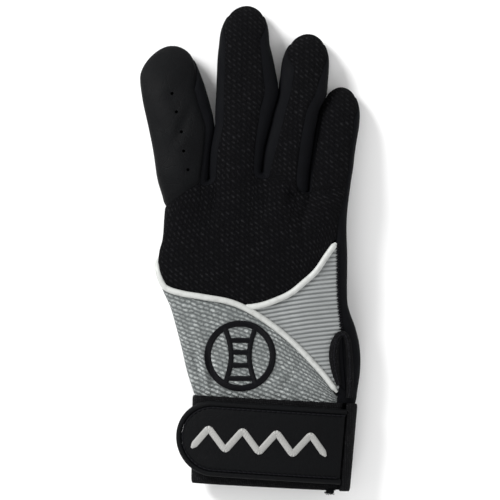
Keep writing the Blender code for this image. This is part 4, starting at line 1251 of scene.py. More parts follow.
def index_pad():
    """The padded leather of the index finger, with its perforations."""
    finger = FINGERS[0]
    holes = [
        (finger.x + hole.across * finger.width, finger.y + hole.along * finger.length)
        for hole in PERFORATIONS
    ]

    def blocks_at(inset):
        return [finger_rows(finger, 1, inset)]

    def dimples(mesh, inner_place):
        """Draws the leather in round each perforation."""
        for vert in mesh.verts:
            depth = 0.0
            for x, y in holes:
                away = math.hypot(vert.co.x - x, vert.co.y - y) / DIMPLE_RADIUS
                depth += DIMPLE_DEPTH * math.exp(-away * away)
            vert.co.z -= depth

    made = panel("index_pad_leather", blocks_at, PAD_WALL, "leather_black", PAD_PROUD, PAD_ROLL, dimples)
    for x, y in holes:
        perforate(made, Vector((x, y, finger_height(finger, y) + FINGER_THICKNESS / 2)))
    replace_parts(made, "index_pad")


def perforate(made, middle):
    """Cuts a round hole for good, straight down through the pad."""
    mesh = new_mesh()
    reach = Vector((0, 0, 2 * PAD_WALL))
    add_rope(mesh, [middle - reach, middle + reach], lambda share: PERFORATION_DIAMETER / 2, HOLE_SIDES,
             lambda i: Vector((0, 1, 0)))
    close_ropes(mesh)
    data = bpy.data.meshes.new("perforation")
    mesh.to_mesh(data)
    mesh.free()
    data.transform(Matrix.Translation(SHIFT))
    cutter = bpy.data.objects.new("perforation", data)
    bpy.context.scene.collection.objects.link(cutter)
    boolean = made.modifiers.new("cut", "BOOLEAN")
    boolean.operation = "DIFFERENCE"
    boolean.solver = "EXACT"
    boolean.object = cutter
    bpy.context.view_layer.update()
    depsgraph = bpy.context.evaluated_depsgraph_get()
    shape = bpy.data.meshes.new_from_object(made.evaluated_get(depsgraph))
    made.modifiers.clear()
    made.data = shape
    bpy.data.objects.remove(cutter)


def side_curve(finger, side, station, inset):
    """Points round one side of the finger, from the seam on the back to the seam on the palm."""
    left = side == "left_seam"
    y = station_y(finger, 0 if left else 180, station)
    top = seam_angle(finger, side, y) - FINGER_TRIM
    bottom = palm_seam_angle(finger, side, y) - FINGER_TRIM
    points = []
    for k in range(SIDE_COLUMNS + 1):
        angle = lerp(top, -bottom, k / SIDE_COLUMNS)
        points.append(finger_point(finger, angle if left else 180 - angle, station, inset))
    return points


def side_rows(finger, side, inset):
    """Rows up one side of the finger, from its root to where the strip ends on the tip."""
    stations = finger_stations(FOURCHETTE_END)
    return [side_curve(finger, side, station, inset) for station in stations]


def web_rows(a_curve, b_curve):
    """Rows round the crotch, from one finger's side to the next finger's."""
    columns = [notch_points(a, b, 0.0) for a, b in zip(a_curve, b_curve)]
    return [list(row) for row in zip(*columns)]


def fourchette(first, second):
    """The strip down one finger, round the crotch and up the next."""

    def blocks_at(inset):
        up = side_rows(second, "left_seam", inset)
        down = side_rows(first, "right_seam", inset)
        return [list(reversed(down)) + web_rows(down[0], up[0]) + up]

    name = f"fourchette_{first.name}_{second.name}"
    made = panel(f"{name}_knit", blocks_at, KNIT_WALL, "knit_black", 0.0, KNIT_ROLL)
    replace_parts(made, name)


def side_strip():
    """The strip down the outer side of the little finger and the hand."""

    def edge_angles(y):
        return strip_angle(y) + HAND_TRIM, 180 + PALM_SEAM_ANGLE - HAND_TRIM

    def blocks_at(inset):
        upper = side_rows(FINGERS[-1], "right_seam", inset)
        top = upper[0][0].y
        root_edges = edge_angles(top)
        lower = []
        for j in range(HAND_ROWS):
            row = []
            for k, target in enumerate(upper[0]):
                share = k / SIDE_COLUMNS
                offset = target - hand_point(lerp(*root_edges, share), target.y, -inset)
                offset.y = 0.0
                low = wrist_line(lerp(*edge_angles(0.0), share))
                y = lerp(low, target.y, j / HAND_ROWS)
                point = hand_point(lerp(*edge_angles(y), share), y, -inset)
                row.append(point + offset * knuckle_weight(y, target.y))
            lower.append(row)
        return [lower + upper]

    made = panel("side_strip_knit", blocks_at, KNIT_WALL, "knit_black", 0.0, KNIT_ROLL)
    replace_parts(made, "side_strip")


def palm():
    """The leather of the palm and of the fingers' fronts."""

    def blocks_at(inset):
        return [hand_rows(-1, wrist_line, inset)] + [finger_rows(f, -1, inset) for f in FINGERS]

    made = panel("palm_leather", blocks_at, LEATHER_WALL, "leather_black")
    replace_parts(made, "palm_panel")


def patch_rows(first, low_edge, high_edge, columns, rows, inset):
    """Rows of a patch of the back, from the angle first to the side strip."""
    grid = []
    for j in range(rows + 1):
        row = []
        for i in range(columns + 1):
            y = 0.0
            for _ in range(SETTLE_TRIES + 1):
                degrees = lerp(first, right_angle(1, y), i / columns)
                y = lerp(low_edge(degrees), high_edge(degrees), j / rows)
            row.append(back_point(degrees, y, inset))
        grid.append(row)
    return grid


def cuff_panel():
    """The grey mesh between the wrist band and the long piping."""

    def top_edge(degrees):
        return beside_piping(LONG_PIPING, degrees, -1)

    low, high = sampled(wrist_line), sampled(top_edge)

    def blocks_at(inset):
        return [patch_rows(left_angle(1), low, high, CUFF_COLUMNS, CUFF_ROWS, inset)]

    made = panel("cuff_mesh", blocks_at, MESH_WALL, "mesh_grey")
    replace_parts(made, "cuff_panel")


def rib_panel():
    """The ribbed elastic between the two pipings, the side strip and the wrist band."""

    def low_edge(degrees):
        return max(beside_piping(LONG_PIPING, degrees, 1), wrist_line(degrees))

    def high_edge(degrees):
        return beside_piping(SHORT_PIPING, degrees, -1)

    def has_room(degrees):
        return high_edge(degrees) - low_edge(degrees) > LEAST_HEIGHT

    def ribs(mesh, inner_place):
        """Raises the ribs. They run across the hand, and rise a little towards its middle. The height is
        kept in the relief layer, from which the elastic's look paints shade in the grooves.
        """
        relief = mesh.verts.layers.float.get("relief")
        for vert in mesh.verts:
            height = ((rib_wave(vert.co) + 1) / 2) ** RIB_FULLNESS
            vert[relief] = height
            vert.co += (vert.co - vert[inner_place]).normalized() * RIB_HEIGHT * (height - 0.5)

    first = first_angle(start_angle(SHORT_PIPING), ANGLE_STEP, has_room)
    rows = round(HAND_LENGTH * SHORT_PIPING[-1].along / RIB_PITCH) * RIB_ROWS
    low, high = sampled(low_edge), sampled(high_edge)

    def blocks_at(inset):
        return [patch_rows(first, low, high, RIB_COLUMNS, rows, inset)]

    made = panel("rib_elastic", blocks_at, ELASTIC_WALL, "elastic_pale", shape=ribs)
    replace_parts(made, "rib_panel")


def rib_wave(point):
    """1 on a rib and -1 between two, at a place on the elastic."""
    share = clamp((point.x - RIB_LEFT) / (RIB_RIGHT - RIB_LEFT), 0.0, 1.0)
    bow = RIB_BOW * math.sin(math.pi * share)
    slant = (RIB_RIGHT - point.x) * RIB_SLANT
    return math.cos(2 * math.pi * (point.y + slant - bow) / RIB_PITCH)


def piping_route(points, first, last, steps):
    route = []
    for i in range(steps + 1):
        degrees = lerp(first, last, i / steps)
        route.append(back_point(degrees, line_y(points, degrees)))
    return route


def piping_end(points):
    """The angle at which the piping stops, at the side strip."""
    y = points[-1].along * HAND_LENGTH
    seam = right_angle(1, y)
    edge = hand_point(seam, y)

    def is_clear(degrees):
        return (hand_point(degrees, y) - edge).length > PIPING_DIAMETER / 4

    return first_angle(seam, -ANGLE_STEP, is_clear)


def piping(name, node, route):
    """A cord along the route, narrowing at its ends."""
    mesh = new_mesh()

    def half_at(share):
        end = min(share, 1 - share) * len(route) / PIPING_END_ROWS
        return PIPING_DIAMETER / 2 * math.sqrt(clamp(end, PIPING_END, 1.0))

    add_rope(mesh, route, half_at, PIPING_SIDES)
    close_ropes(mesh)
    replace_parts(mesh_piece(name, mesh, "piping_white"), node)


def pipings():
    """The long piping, and the short one, whose start is tucked under it."""
    route = piping_route(LONG_PIPING, -WRAP_ANGLE / 2, piping_end(LONG_PIPING), LONG_PIPING_ROWS)
    piping("piping_long_cord", "piping_long", route)

    first = start_angle(SHORT_PIPING, SHORT_PIPING_TUCK)
    route = piping_route(SHORT_PIPING, first, piping_end(SHORT_PIPING), SHORT_PIPING_ROWS)
    for point in route:
        away = (point - route[0]).length / SHORT_PIPING_SINK_LENGTH
        point.z -= SHORT_PIPING_SINK * (1 - smoothstep(away))
    piping("piping_short_cord", "piping_short", route)


def binding_values(at):
    """Where the binding's middle runs and its half width, at a place counted in its table's rows."""
    keys = list(range(len(SLIT_BINDING)))
    across, along, width = (
        curve_value(keys, [getattr(point, column) for point in SLIT_BINDING], at)
        for column in BindingPoint._fields
    )
    return across * HAND_WIDTH, along * HAND_LENGTH, width * BINDING_WIDTH / 2


def binding_route(rows, raised):
    """Points along the binding, over the panels by raised half heights, and its half widths."""
    route, halves = [], []
    for i in range(rows + 1):
        x, y, half = binding_values(i / rows * (len(SLIT_BINDING) - 1))
        under = max(back_point(angle_at(x + side * half, y), y).z for side in (-1, 0, 1))
        route.append(Vector((x, y, under + raised * half * BINDING_FLATNESS)))
        halves.append(half)
    return route, halves


def slit_binding():
    """The folded binding round the top of the slit in the cuff, flat on the panels."""
    route, halves = binding_route(BINDING_ROWS, 1)
    mesh = new_mesh()
    add_rope(mesh, route, lambda share: halves[round(share * BINDING_ROWS)], BINDING_SIDES,
             flat=BINDING_FLATNESS)
    close_ropes(mesh)
    made = mesh_piece("slit_binding_tape", mesh, "webbing_black")
    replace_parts(made, "slit_binding")


def slit_facing():
    """The black cloth inside the binding, which parts along the slit."""
    grid = []
    for i in range(SLIT_ROWS + 1):
        share = i / SLIT_ROWS
        x_left, y_left, _ = binding_values(SLIT_TOP * share)
        x_right, y_right, _ = binding_values(lerp(len(SLIT_BINDING) - 1, SLIT_TOP, share))
        row = []
        for k in range(SLIT_COLUMNS + 1):
            across = k / SLIT_COLUMNS
            x, y = lerp(x_left, x_right, across), lerp(y_left, y_right, across)
            groove = SLIT_DEPTH * math.exp(-(((across - SLIT_PLACE) / SLIT_WIDTH) ** 2))
            row.append(back_point(angle_at(x, y), y, groove - SLIT_RISE))
        grid.append(row)
    sheet("slit_facing", grid, KNIT_WALL / 2, "knit_black")


# The thumb


def thumb_ring(along, inset):
    """A ring of points round the thumb at a share of its reach."""
    across, height, width, thickness = (
        table_value(THUMB, "along", column, along) for column in ThumbRow._fields[1:]
    )
    share = clamp((along - THUMB_CAP) / (1 - THUMB_CAP), 0.0, 1.0)
    full = math.sqrt(1 - share * share)
    half = (width * THUMB_WIDTH / 2 - inset) * full
    thick = (thickness * THUMB_THICKNESS / 2 - inset) * full
    ring = []
    for k in range(THUMB_COLUMNS + 1):
        angle = -2 * math.pi * k / THUMB_COLUMNS
        x = THUMB_X + across * THUMB_WIDTH - half * math.cos(angle)
        z = height * THUMB_THICKNESS + thick * rounded_sine(angle, FINGER_FULLNESS)
        ring.append(Vector((x, THUMB_Y + along * THUMB_REACH - share * inset, max(z, inset))))
    return ring


def thumb():
    """The thumb, folded under the palm."""
    body = [THUMB_CAP * i / THUMB_ROWS for i in range(THUMB_ROWS)]
    quarter = math.pi / 2
    cap = [lerp(THUMB_CAP, 1.0, math.sin(quarter * i / CAP_ROWS)) for i in range(CAP_ROWS + 1)]

    def blocks_at(inset):
        return [[thumb_ring(along, inset) for along in body + cap]]

    made = panel("thumb_leather", blocks_at, LEATHER_WALL, "leather_black")
    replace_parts(made, "thumb_stall")


# The wrist band and its strap


def band_place(across, along, height):
    """A point given in the band's own tilted frame. along runs down from the cuff seam."""
    tilt = math.radians(BAND_TILT)
    x = BAND_X + across * math.cos(tilt) - along * math.sin(tilt)
    y = -across * math.sin(tilt) - along * math.cos(tilt)
    return Vector((x, y - math.tan(tilt) * (BAND_X - hand_edges(0.0)[0]), height))


def band_point(degrees, along, grow):
    """A point round the band's outer face, which tapers a little towards its free edge."""
    angle = math.radians(degrees)
    half = BAND_HALF_WIDTH * (1 - BAND_TAPER * along / BAND_HEIGHT) + grow
    z = BAND_MIDDLE + (BAND_THICKNESS / 2 + grow) * rounded_sine(angle, HAND_FULLNESS)
    return band_place(-half * math.cos(angle), along, max(z, 0.0))


def wrist_band():
    """An open ring from under the strap, round the wrist, to the strap's sewn end."""
    start, end = 180 - BAND_TUCK_ANGLE, -180 - BAND_END_ANGLE
    grid = []
    for j in range(BAND_ROWS + 1):
        row = []
        for i in range(BAND_COLUMNS + 1):
            degrees = lerp(start, end, i / BAND_COLUMNS)
            rise = smoothstep((BAND_RISE_ANGLE - degrees) / (BAND_RISE_ANGLE - end))
            along = lerp(0.0, BAND_HEIGHT, j / BAND_ROWS)
            row.append(band_point(degrees, along, rise * STRAP_LIFT))
        grid.append(row)
    made = sheet("wrist_band_elastic", grid, BAND_WALL, "webbing_black", SEAM_ROLL)
    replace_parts(made, "wrist_band")


def strap_point(across, along, grow=0.0):
    """A point over the band, at a distance across from its middle. It is flatter on the left."""
    lift = STRAP_LIFT + grow
    half = STRAP_SPAN if across < 0 else BAND_HALF_WIDTH + lift
    sine = math.sqrt(max(1 - (across / half) ** 2, 0.0))
    down = along + across * math.tan(math.radians(STRAP_TILT))
    taper = 1 - BAND_TAPER * down / BAND_HEIGHT
    height = BAND_MIDDLE + (BAND_THICKNESS / 2 + lift) * sine**HAND_FULLNESS
    return band_place(across * taper, down, height)


def strap_tab():
    """The strap's leather: rounded at the left, straight to its sewn end, and slightly crowned."""
    half = STRAP_WIDTH / 2 - RIM_DIAMETER + STRAP_TUCK
    rows = []
    for i in range(STRAP_TURNS):
        angle = math.pi / 2 * (1 - i / STRAP_TURNS)
        rows.append((STRAP_LEFT - half * math.sin(angle), half * math.cos(angle)))
    rows += [(lerp(STRAP_LEFT, STRAP_RIGHT, i / STRAP_ROWS), half) for i in range(STRAP_ROWS + 1)]
    grid = []
    for across, reach in rows:
        row = []
        for k in range(STRAP_COLUMNS + 1):
            side = 2 * k / STRAP_COLUMNS - 1
            crown = STRAP_CROWN * (1 - side**4)
            row.append(strap_point(across, STRAP_MIDDLE + reach * side, crown))
        grid.append(row)
    made = sheet("strap_leather", grid, STRAP_WALL, "leather_black", STRAP_ROLL)
    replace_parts(made, "strap_tab")


def strap_edge(half, straight, turns):
    """A route round the strap, at a distance from its middle line."""
    side = [lerp(STRAP_RIGHT, STRAP_LEFT, i / straight) for i in range(straight)]
    route = [(across, -half) for across in side]
    for i in range(turns + 1):
        angle = math.pi * i / turns
        route.append((STRAP_LEFT - half * math.sin(angle), -half * math.cos(angle)))
    return route + [(across, half) for across in reversed(side)]


def strap_rim():
    """The rolled edge round the strap."""
    route = strap_edge((STRAP_WIDTH - RIM_DIAMETER) / 2, RIM_ROWS, RIM_TURNS)
    points = [strap_point(across, STRAP_MIDDLE + along, -STRAP_WALL / 2) for across, along in route]
    mesh = new_mesh()
    add_rope(mesh, points, lambda share: RIM_DIAMETER / 2, RIM_SIDES)
    close_ropes(mesh)
    made = mesh_piece("strap_rim_leather", mesh, "leather_black")
    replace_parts(made, "strap_rim")


def hook_patch():
    """The fastener's hooked patch, hidden between the strap and the band."""
    grid = []
    for i in range(HOOK_ROWS + 1):
        across = lerp(-HOOK_LENGTH, 0.0, i / HOOK_ROWS)
        row = []
        for k in range(HOOK_COLUMNS + 1):
            along = STRAP_MIDDLE + HOOK_WIDTH * (k / HOOK_COLUMNS - 0.5)
            hooks = HOOK_RELIEF * (i % 2) * (k % 2)
            row.append(strap_point(across, along, -STRAP_WALL - STRAP_GAP - hooks))
        grid.append(row)
    made = sheet("hook_patch_hooks", grid, HOOK_WALL - HOOK_RELIEF, "webbing_black")
    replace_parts(made, "hook_patch")


# Raised stitching


def add_satin(mesh, line, half_at, raised, closed=False):
    """A satin-stitched line: threads side by side across it, rounded over a low core."""
    points = resample(line, THREAD_PITCH / 2)
    relief = mesh.verts.layers.float.get("relief")
    last = len(points) - 1
    rows = []
    for i, point in enumerate(points):
        ahead = points[min(i + 1, last)] - points[max(i - 1, 0)]
        if closed and i in (0, last):
            ahead = points[1] - points[last - 1]
        side = Vector((-ahead.y, ahead.x, 0.0)).normalized()
        half = half_at(i / last)
        row = []
        for k in range(SATIN_COLUMNS + 1):
            share = 2 * k / SATIN_COLUMNS - 1
            place = point + side * half * share
            core = lerp(SATIN_EDGE, 1.0, math.sqrt(max(1 - share * share, 0.0)))
            row.append(raised(place.x, place.y, SATIN_RAISE * core + THREAD_RELIEF * (i % 2)))
        edges = (point + side * half, point - side * half)
        under = [raised(edge.x, edge.y, -SATIN_SINK) for edge in edges]
        rows.append(row + under + [row[0]])
    if closed:
        rows[-1] = rows[0]
    column = half / SATIN_COLUMNS
    places = [
        [Vector((i * THREAD_PITCH / 2, k * column, 0.0)) for k in range(len(row))]
        for i, row in enumerate(rows)
    ]
    made = add_grid(mesh, rows, places)
    # Every other thread stands higher; the thread's look paints the lower ones darker from this as shade
    for i, ring in enumerate(made):
        for vert in ring:
            vert[relief] = float(i % 2)
    if not closed:
        for ring in (made[0], made[-1]):
            mesh.faces.new(ring[:-1])


def cuff_emblem():
    """A ball: a ring, the two edges of its seam, and stitches across the seam."""
    inner = EMBLEM_DIAMETER / 2 - EMBLEM_LINE / 2
    centre = Vector((EMBLEM_X, EMBLEM_Y, 0.0))

    def raised(x, y, height):
        return back_point(angle_at(x, y), y, -height)

    def half_at(share):
        return EMBLEM_SEAM_LINE / 2

    def ring_line():
        turns = [2 * math.pi * i / EMBLEM_RING_ROWS for i in range(EMBLEM_RING_ROWS + 1)]
        return [centre + inner * Vector((math.sin(turn), math.cos(turn), 0)) for turn in turns]

    def seam_line(side):
        angle = math.radians(EMBLEM_SEAM_ANGLE)
        x, y = side * inner * math.sin(angle), inner * math.cos(angle)
        line = []
        for j in range(EMBLEM_SEAM_ROWS + 1):
            share = j / EMBLEM_SEAM_ROWS
            bow = side * EMBLEM_LINE * math.sin(math.pi * share)
            line.append(centre + Vector((x - bow, lerp(-y, y, share), 0.0)))
        return line

    mesh = new_mesh()
    add_satin(mesh, ring_line(), lambda share: EMBLEM_LINE / 2, raised, True)
    left, right = seam_line(-1), seam_line(1)
    for line in (left, right):
        add_satin(mesh, line, half_at, raised)
    for j in range(1, EMBLEM_ROWS, 2):
        at = round(j / EMBLEM_ROWS * EMBLEM_SEAM_ROWS)
        add_satin(mesh, [left[at], left[at].lerp(right[at], 0.5), right[at]], half_at, raised)
    close_ropes(mesh)
    made = mesh_piece("cuff_emblem_thread", mesh, "thread_black")
    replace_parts(made, "cuff_emblem")


def strap_motif():
    """A zigzag along the strap."""
    leg = MOTIF_LENGTH / MOTIF_LEGS
    line = []
    for i in range(MOTIF_LEGS + 1):
        across = MOTIF_X - BAND_X + (i - MOTIF_LEGS / 2) * leg
        zigzag = (i % 2) - 0.5
        line.append(Vector((across, STRAP_MIDDLE - MOTIF_HEIGHT * zigzag, 0.0)))
    rounded = []
    for i, point in enumerate(line):
        if 0 < i < MOTIF_LEGS:
            before, after = (point.lerp(line[k], MOTIF_CORNER) for k in (i - 1, i + 1))
            rounded += [before, point.lerp((before + after) / 2, 0.5), after]
        else:
            rounded.append(point)
    mesh = new_mesh()

    def half_at(share):
        end = min(share, 1 - share) * MOTIF_LENGTH / MOTIF_LINE
        return MOTIF_LINE / 2 * math.sqrt(clamp(end * 2, MOTIF_END, 1.0))

    def raised(x, y, height):
        return strap_point(x, y, height + STRAP_CROWN)

    add_satin(mesh, rounded, half_at, raised)
    close_ropes(mesh)
    made = mesh_piece("strap_motif_thread", mesh, "thread_silver")
    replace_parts(made, "strap_motif")


# Stitches and loose threads


def add_stitch(mesh, a, b, up, half):
    """One stitch from a to b, dipping in at both ends."""
    relief = mesh.verts.layers.float.get("relief")
    last = len(STITCH_HEIGHTS) - 1
    route = [a.lerp(b, i / last) + up * half * height for i, height in enumerate(STITCH_HEIGHTS)]
    # Stitches count as raised, so that the thread's look paints them in its lighter, highlighted colour
    for ring in add_rope(mesh, route, lambda share: half, THREAD_SIDES):
        for vert in ring:
            vert[relief] = 1.0


def stitch_line(name, line, pitch):
    """A row of stitches along points on a surface that faces up."""
    mesh = new_mesh()
    points = resample(line, pitch)
    for a, b in zip(points, points[1:]):
        add_stitch(mesh, a.lerp(b, STITCH_SPACE), b.lerp(a, STITCH_SPACE), Vector((0, 0, 1)), STITCH_THICK)
    close_ropes(mesh)
    mesh_piece(name, mesh, "thread_black")


def strap_stitches():
    """The stitches inside the strap's rim."""
    half = STRAP_WIDTH / 2 - RIM_DIAMETER - STRAP_STITCH_INSET
    line = [
        strap_point(across, STRAP_MIDDLE + along, STRAP_STITCH_RAISE)
        for across, along in strap_edge(half, STITCH_LINE_ROWS, STITCH_LINE_TURNS)
    ]
    stitch_line("strap_stitches", line, STRAP_STITCH)


def seam_stitches():
    """The overlocked seam between the elastic and the side strip."""
    mesh = new_mesh()
    low = SEAM_STITCH_LOW * HAND_LENGTH
    high = SHORT_PIPING[-1].along * HAND_LENGTH
    count = round((high - low) / SEAM_STITCH)
    for i in range(count):
        y = lerp(low, high, i / count)
        seam = right_angle(1, y)
        edge = hand_point(seam, y)
        inward = (hand_point(seam - 1.0, y) - edge).normalized()
        start = edge + inward * SEAM_STITCH_REACH
        end = edge - inward * SEAM_STITCH_REACH / 2 + Vector((0.0, SEAM_STITCH * SEAM_STITCH_SLANT, 0.0))
        add_stitch(mesh, start, end, Vector((0, 0, 1)), STITCH_THICK * SEAM_STITCH_THICK)
    close_ropes(mesh)
    mesh_piece("seam_stitches", mesh, "thread_black")


def binding_stitches():
    """Stitches along the middle of the slit's binding."""
    line, _ = binding_route(BINDING_LINE_ROWS, 2)
    stitch_line("binding_stitches", line, BINDING_STITCH)


def frayed_corner():
    """Loose threads where the strap's sewn end meets the band's edge."""
    draw = random.Random(FRAY_SEED)
    mesh = new_mesh()
    for _ in range(FRAY_THREADS):
        across = FRAY_ACROSS + draw.uniform(-1, 1) * FRAY_SPREAD
        start = strap_point(across, BAND_HEIGHT - draw.uniform(0.0, FRAY_DEPTH), -STRAP_LIFT)
        turn = math.radians(-90 + draw.uniform(-1, 1) * FRAY_TURN)
        reach = draw.uniform(FRAY_SHORTEST, 1.0) * FRAY_LENGTH
        bend = draw.uniform(-1, 1) * FRAY_BEND
        route = []
        for i in range(FRAY_STEPS + 1):
            share = i / FRAY_STEPS
            heading = turn + bend * share
            step = Vector((math.cos(heading), math.sin(heading), 0.0)) * reach * share
            lift = math.sin(math.pi * share) * draw.uniform(0.0, FRAY_LIFT)
            route.append(start + step + Vector((0.0, 0.0, lift - FRAY_DROP * share)))
        add_rope(mesh, route, lambda share: FRAY_THICK * (1 - FRAY_TAPER * share), THREAD_SIDES)
    close_ropes(mesh)
    mesh_piece("frayed_threads", mesh, "thread_black")


# Looks. The sizes of noise and cells are in millimetres, and the weights in a look run from 0 to 1.


def add_node(tree, kind, inputs=None, **settings):
    """A shader node. An input is set to a value, or linked where it is given a socket."""
    made = tree.nodes.new("ShaderNode" + kind)
    for key, value in settings.items():
        setattr(made, key, value)
    for key, value in (inputs or {}).items():
        socket = made.inputs[key]
        if isinstance(value, bpy.types.NodeSocket):
            tree.links.new(value, socket)
        else:
            socket.default_value = value
    return made


def calc(tree, operation, *values):
    return add_node(tree, "Math", dict(enumerate(values)), operation=operation).outputs[0]


def plus(tree, a, b):
    return calc(tree, "ADD", a, b)


def minus(tree, a, b):
    return calc(tree, "SUBTRACT", a, b)


def times(tree, a, b):
    return calc(tree, "MULTIPLY", a, b)


def fit(tree, value, low, high, to_low, to_high):
    """The value carried smoothly from one range to another, and held at its ends."""
    made = add_node(tree, "MapRange", {0: value, 1: low, 2: high, 3: to_low, 4: to_high},
                    interpolation_type="SMOOTHSTEP")
    return made.outputs[0]


def fit_cloud(tree, value, to_low, to_high):
    """Noise carried from the range that it keeps to."""
    return fit(tree, value, CLOUD_LOW, CLOUD_HIGH, to_low, to_high)


def mix(tree, share, a, b):
    """Between two colours or numbers in grey, by share."""
    made = add_node(tree, "MixRGB", {"Fac": share}, blend_type="MIX")
    for key, value in (("Color1", a), ("Color2", b)):
        if isinstance(value, bpy.types.NodeSocket):
            tree.links.new(value, made.inputs[key])
        else:
            made.inputs[key].default_value = (*value, 1.0)
    return made.outputs[0]


def cloth_place(tree, turn=0.0):
    """The place on the flat cloth in millimetres, turned by an angle in degrees."""
    cloth = add_node(tree, "Attribute", attribute_name="cloth").outputs["Vector"]
    made = add_node(tree, "Mapping", {"Vector": cloth, "Rotation": (0, 0, math.radians(turn)),
                                      "Scale": (MILLIMETRES,) * 3})
    return made.outputs[0]


def object_place(tree):
    """The place in the glove, in millimetres."""
    place = add_node(tree, "TexCoord").outputs["Object"]
    return add_node(tree, "Mapping", {"Vector": place, "Scale": (MILLIMETRES,) * 3}).outputs[0]


def cloud(tree, place, size, detail=2.0):
    """Noise whose lumps are about size millimetres."""
    made = add_node(tree, "TexNoise", {"Vector": place, "Scale": 1.0 / size, "Detail": detail})
    return made.outputs["Fac"]


def stir(tree, place, size, reach):
    """The place moved about by noise, so that a weave isn't ruled."""
    drift = add_node(tree, "TexNoise", {"Vector": place, "Scale": 1.0 / size, "Detail": 1.0})
    off = add_node(tree, "VectorMath", {0: drift.outputs["Color"], 1: (0.5, 0.5, 0.5)},
                   operation="SUBTRACT").outputs[0]
    far = add_node(tree, "VectorMath", {0: off, "Scale": reach}, operation="SCALE").outputs[0]
    return add_node(tree, "VectorMath", {0: place, 1: far}, operation="ADD").outputs[0]


def cells(tree, place, width, height, stagger=0.5):
    """Staggered cells: the place across and along its cell, from -0.5 to 0.5, and the cell's own number."""
    split = add_node(tree, "SeparateXYZ", {0: place}).outputs
    up = calc(tree, "DIVIDE", split[1], height)
    row = calc(tree, "FLOOR", up)
    over = plus(tree, calc(tree, "DIVIDE", split[0], width), times(tree, row, stagger))
    column = calc(tree, "FLOOR", over)
    across = minus(tree, minus(tree, over, column), 0.5)
    along = minus(tree, minus(tree, up, row), 0.5)
    corner = add_node(tree, "CombineXYZ", {0: column, 1: row}).outputs[0]
    own = add_node(tree, "TexWhiteNoise", {"Vector": corner}, noise_dimensions="2D").outputs["Value"]
    return across, along, own


def spot(tree, across, along, wide, high, soft=0.25):
    """1 in an oval in the middle of a cell, fading to 0 at its edge. Sizes are shares of the cell."""
    a = calc(tree, "DIVIDE", across, wide / 2)
    b = calc(tree, "DIVIDE", along, high / 2)
    away = calc(tree, "SQRT", plus(tree, times(tree, a, a), times(tree, b, b)))
    return fit(tree, away, soft, 1.0, 1.0, 0.0)


def cracks(tree, place, size):
    """The distance to the nearest line between cells about size millimetres wide."""
    made = add_node(tree, "TexVoronoi", {"Vector": place, "Scale": 1.0 / size}, feature="DISTANCE_TO_EDGE")
    return made.outputs[0]


def new_look(name, specular, sheen=0.0, coat=0.0):
    made = bpy.data.materials.new(name)
    made.use_nodes = True
    shader = made.node_tree.nodes["Principled BSDF"]
    shader.inputs["Specular IOR Level"].default_value = specular
    shader.inputs["Sheen Weight"].default_value = sheen
    shader.inputs["Sheen Roughness"].default_value = 0.45
    shader.inputs["Coat Weight"].default_value = coat
    shader.inputs["Coat Roughness"].default_value = 0.35
    LOOKS[name] = made
    return made.node_tree, shader


def dress(tree, shader, colour, roughness, height, depth):
    """Gives the shader its colour, its roughness and a bump as deep as depth in metres."""
    tree.links.new(colour, shader.inputs["Base Color"])
    tree.links.new(roughness, shader.inputs["Roughness"])
    bump = add_node(tree, "Bump", {"Height": height, "Distance": depth, "Strength": 1.0})
    tree.links.new(bump.outputs[0], shader.inputs["Normal"])


def mesh_look(look):
    """Air mesh: staggered rows of short slanting dashes of raised yarn, lighter as a painted highlight and,
    in the grey mesh, partly as paler yarn, with pits between them painted darker as shade.
    """
    tree, shader = new_look(look.name, look.specular, look.sheen)
    flat = cloth_place(tree)
    place = stir(tree, cloth_place(tree, look.turn), *MESH_STIR)
    across, along, own = cells(tree, place, DASH_PITCH, DASH_ROW)
    fray = minus(tree, cloud(tree, place, 0.7, 3.0), 0.5)
    frayed = plus(tree, along, times(tree, fray, DASH_FRAY))
    yarn = spot(tree, across, frayed, DASH_WIDE * look.full, DASH_HIGH * look.full, 0.2)
    strength = times(tree, yarn, fit(tree, own, 0.0, 1.0, look.even, 1.0))
    strength = times(tree, strength, fit(tree, cloud(tree, place, 0.45, 2.0), 0.25, 0.6, 0.45, 1.0))
    strength = times(tree, strength, fit(tree, cloud(tree, flat, 9.0), 0.35, 0.65, 0.55, 1.0))
    fuzz = cloud(tree, place, 0.35, 3.0)
    speckle = fit_cloud(tree, fuzz, 0.0, 1.0)
    across, along, _ = cells(tree, place, DASH_PITCH / 2, DASH_ROW)
    hole = minus(tree, 1.0, spot(tree, across, along, 0.9, 0.9, 0.1))
    # Painted shade: the fuzz is darker towards the pit colour where its bump is low
    base = mix(tree, speckle, look.pit, look.ground)
    # Painted shade: the pits, where the bump sinks, are darkened towards the pit colour
    base = mix(tree, times(tree, hole, 0.6), base, look.pit)
    # Painted highlight: the raised dashes are lightened towards the dash colour
    colour = mix(tree, strength, base, look.dash)
    height = plus(tree, yarn, times(tree, speckle, 0.35))
    height = minus(tree, height, times(tree, hole, 0.4))
    roughness = fit_cloud(tree, fuzz, 0.72, 0.95)
    dress(tree, shader, colour, roughness, height, MESH_DEPTH)


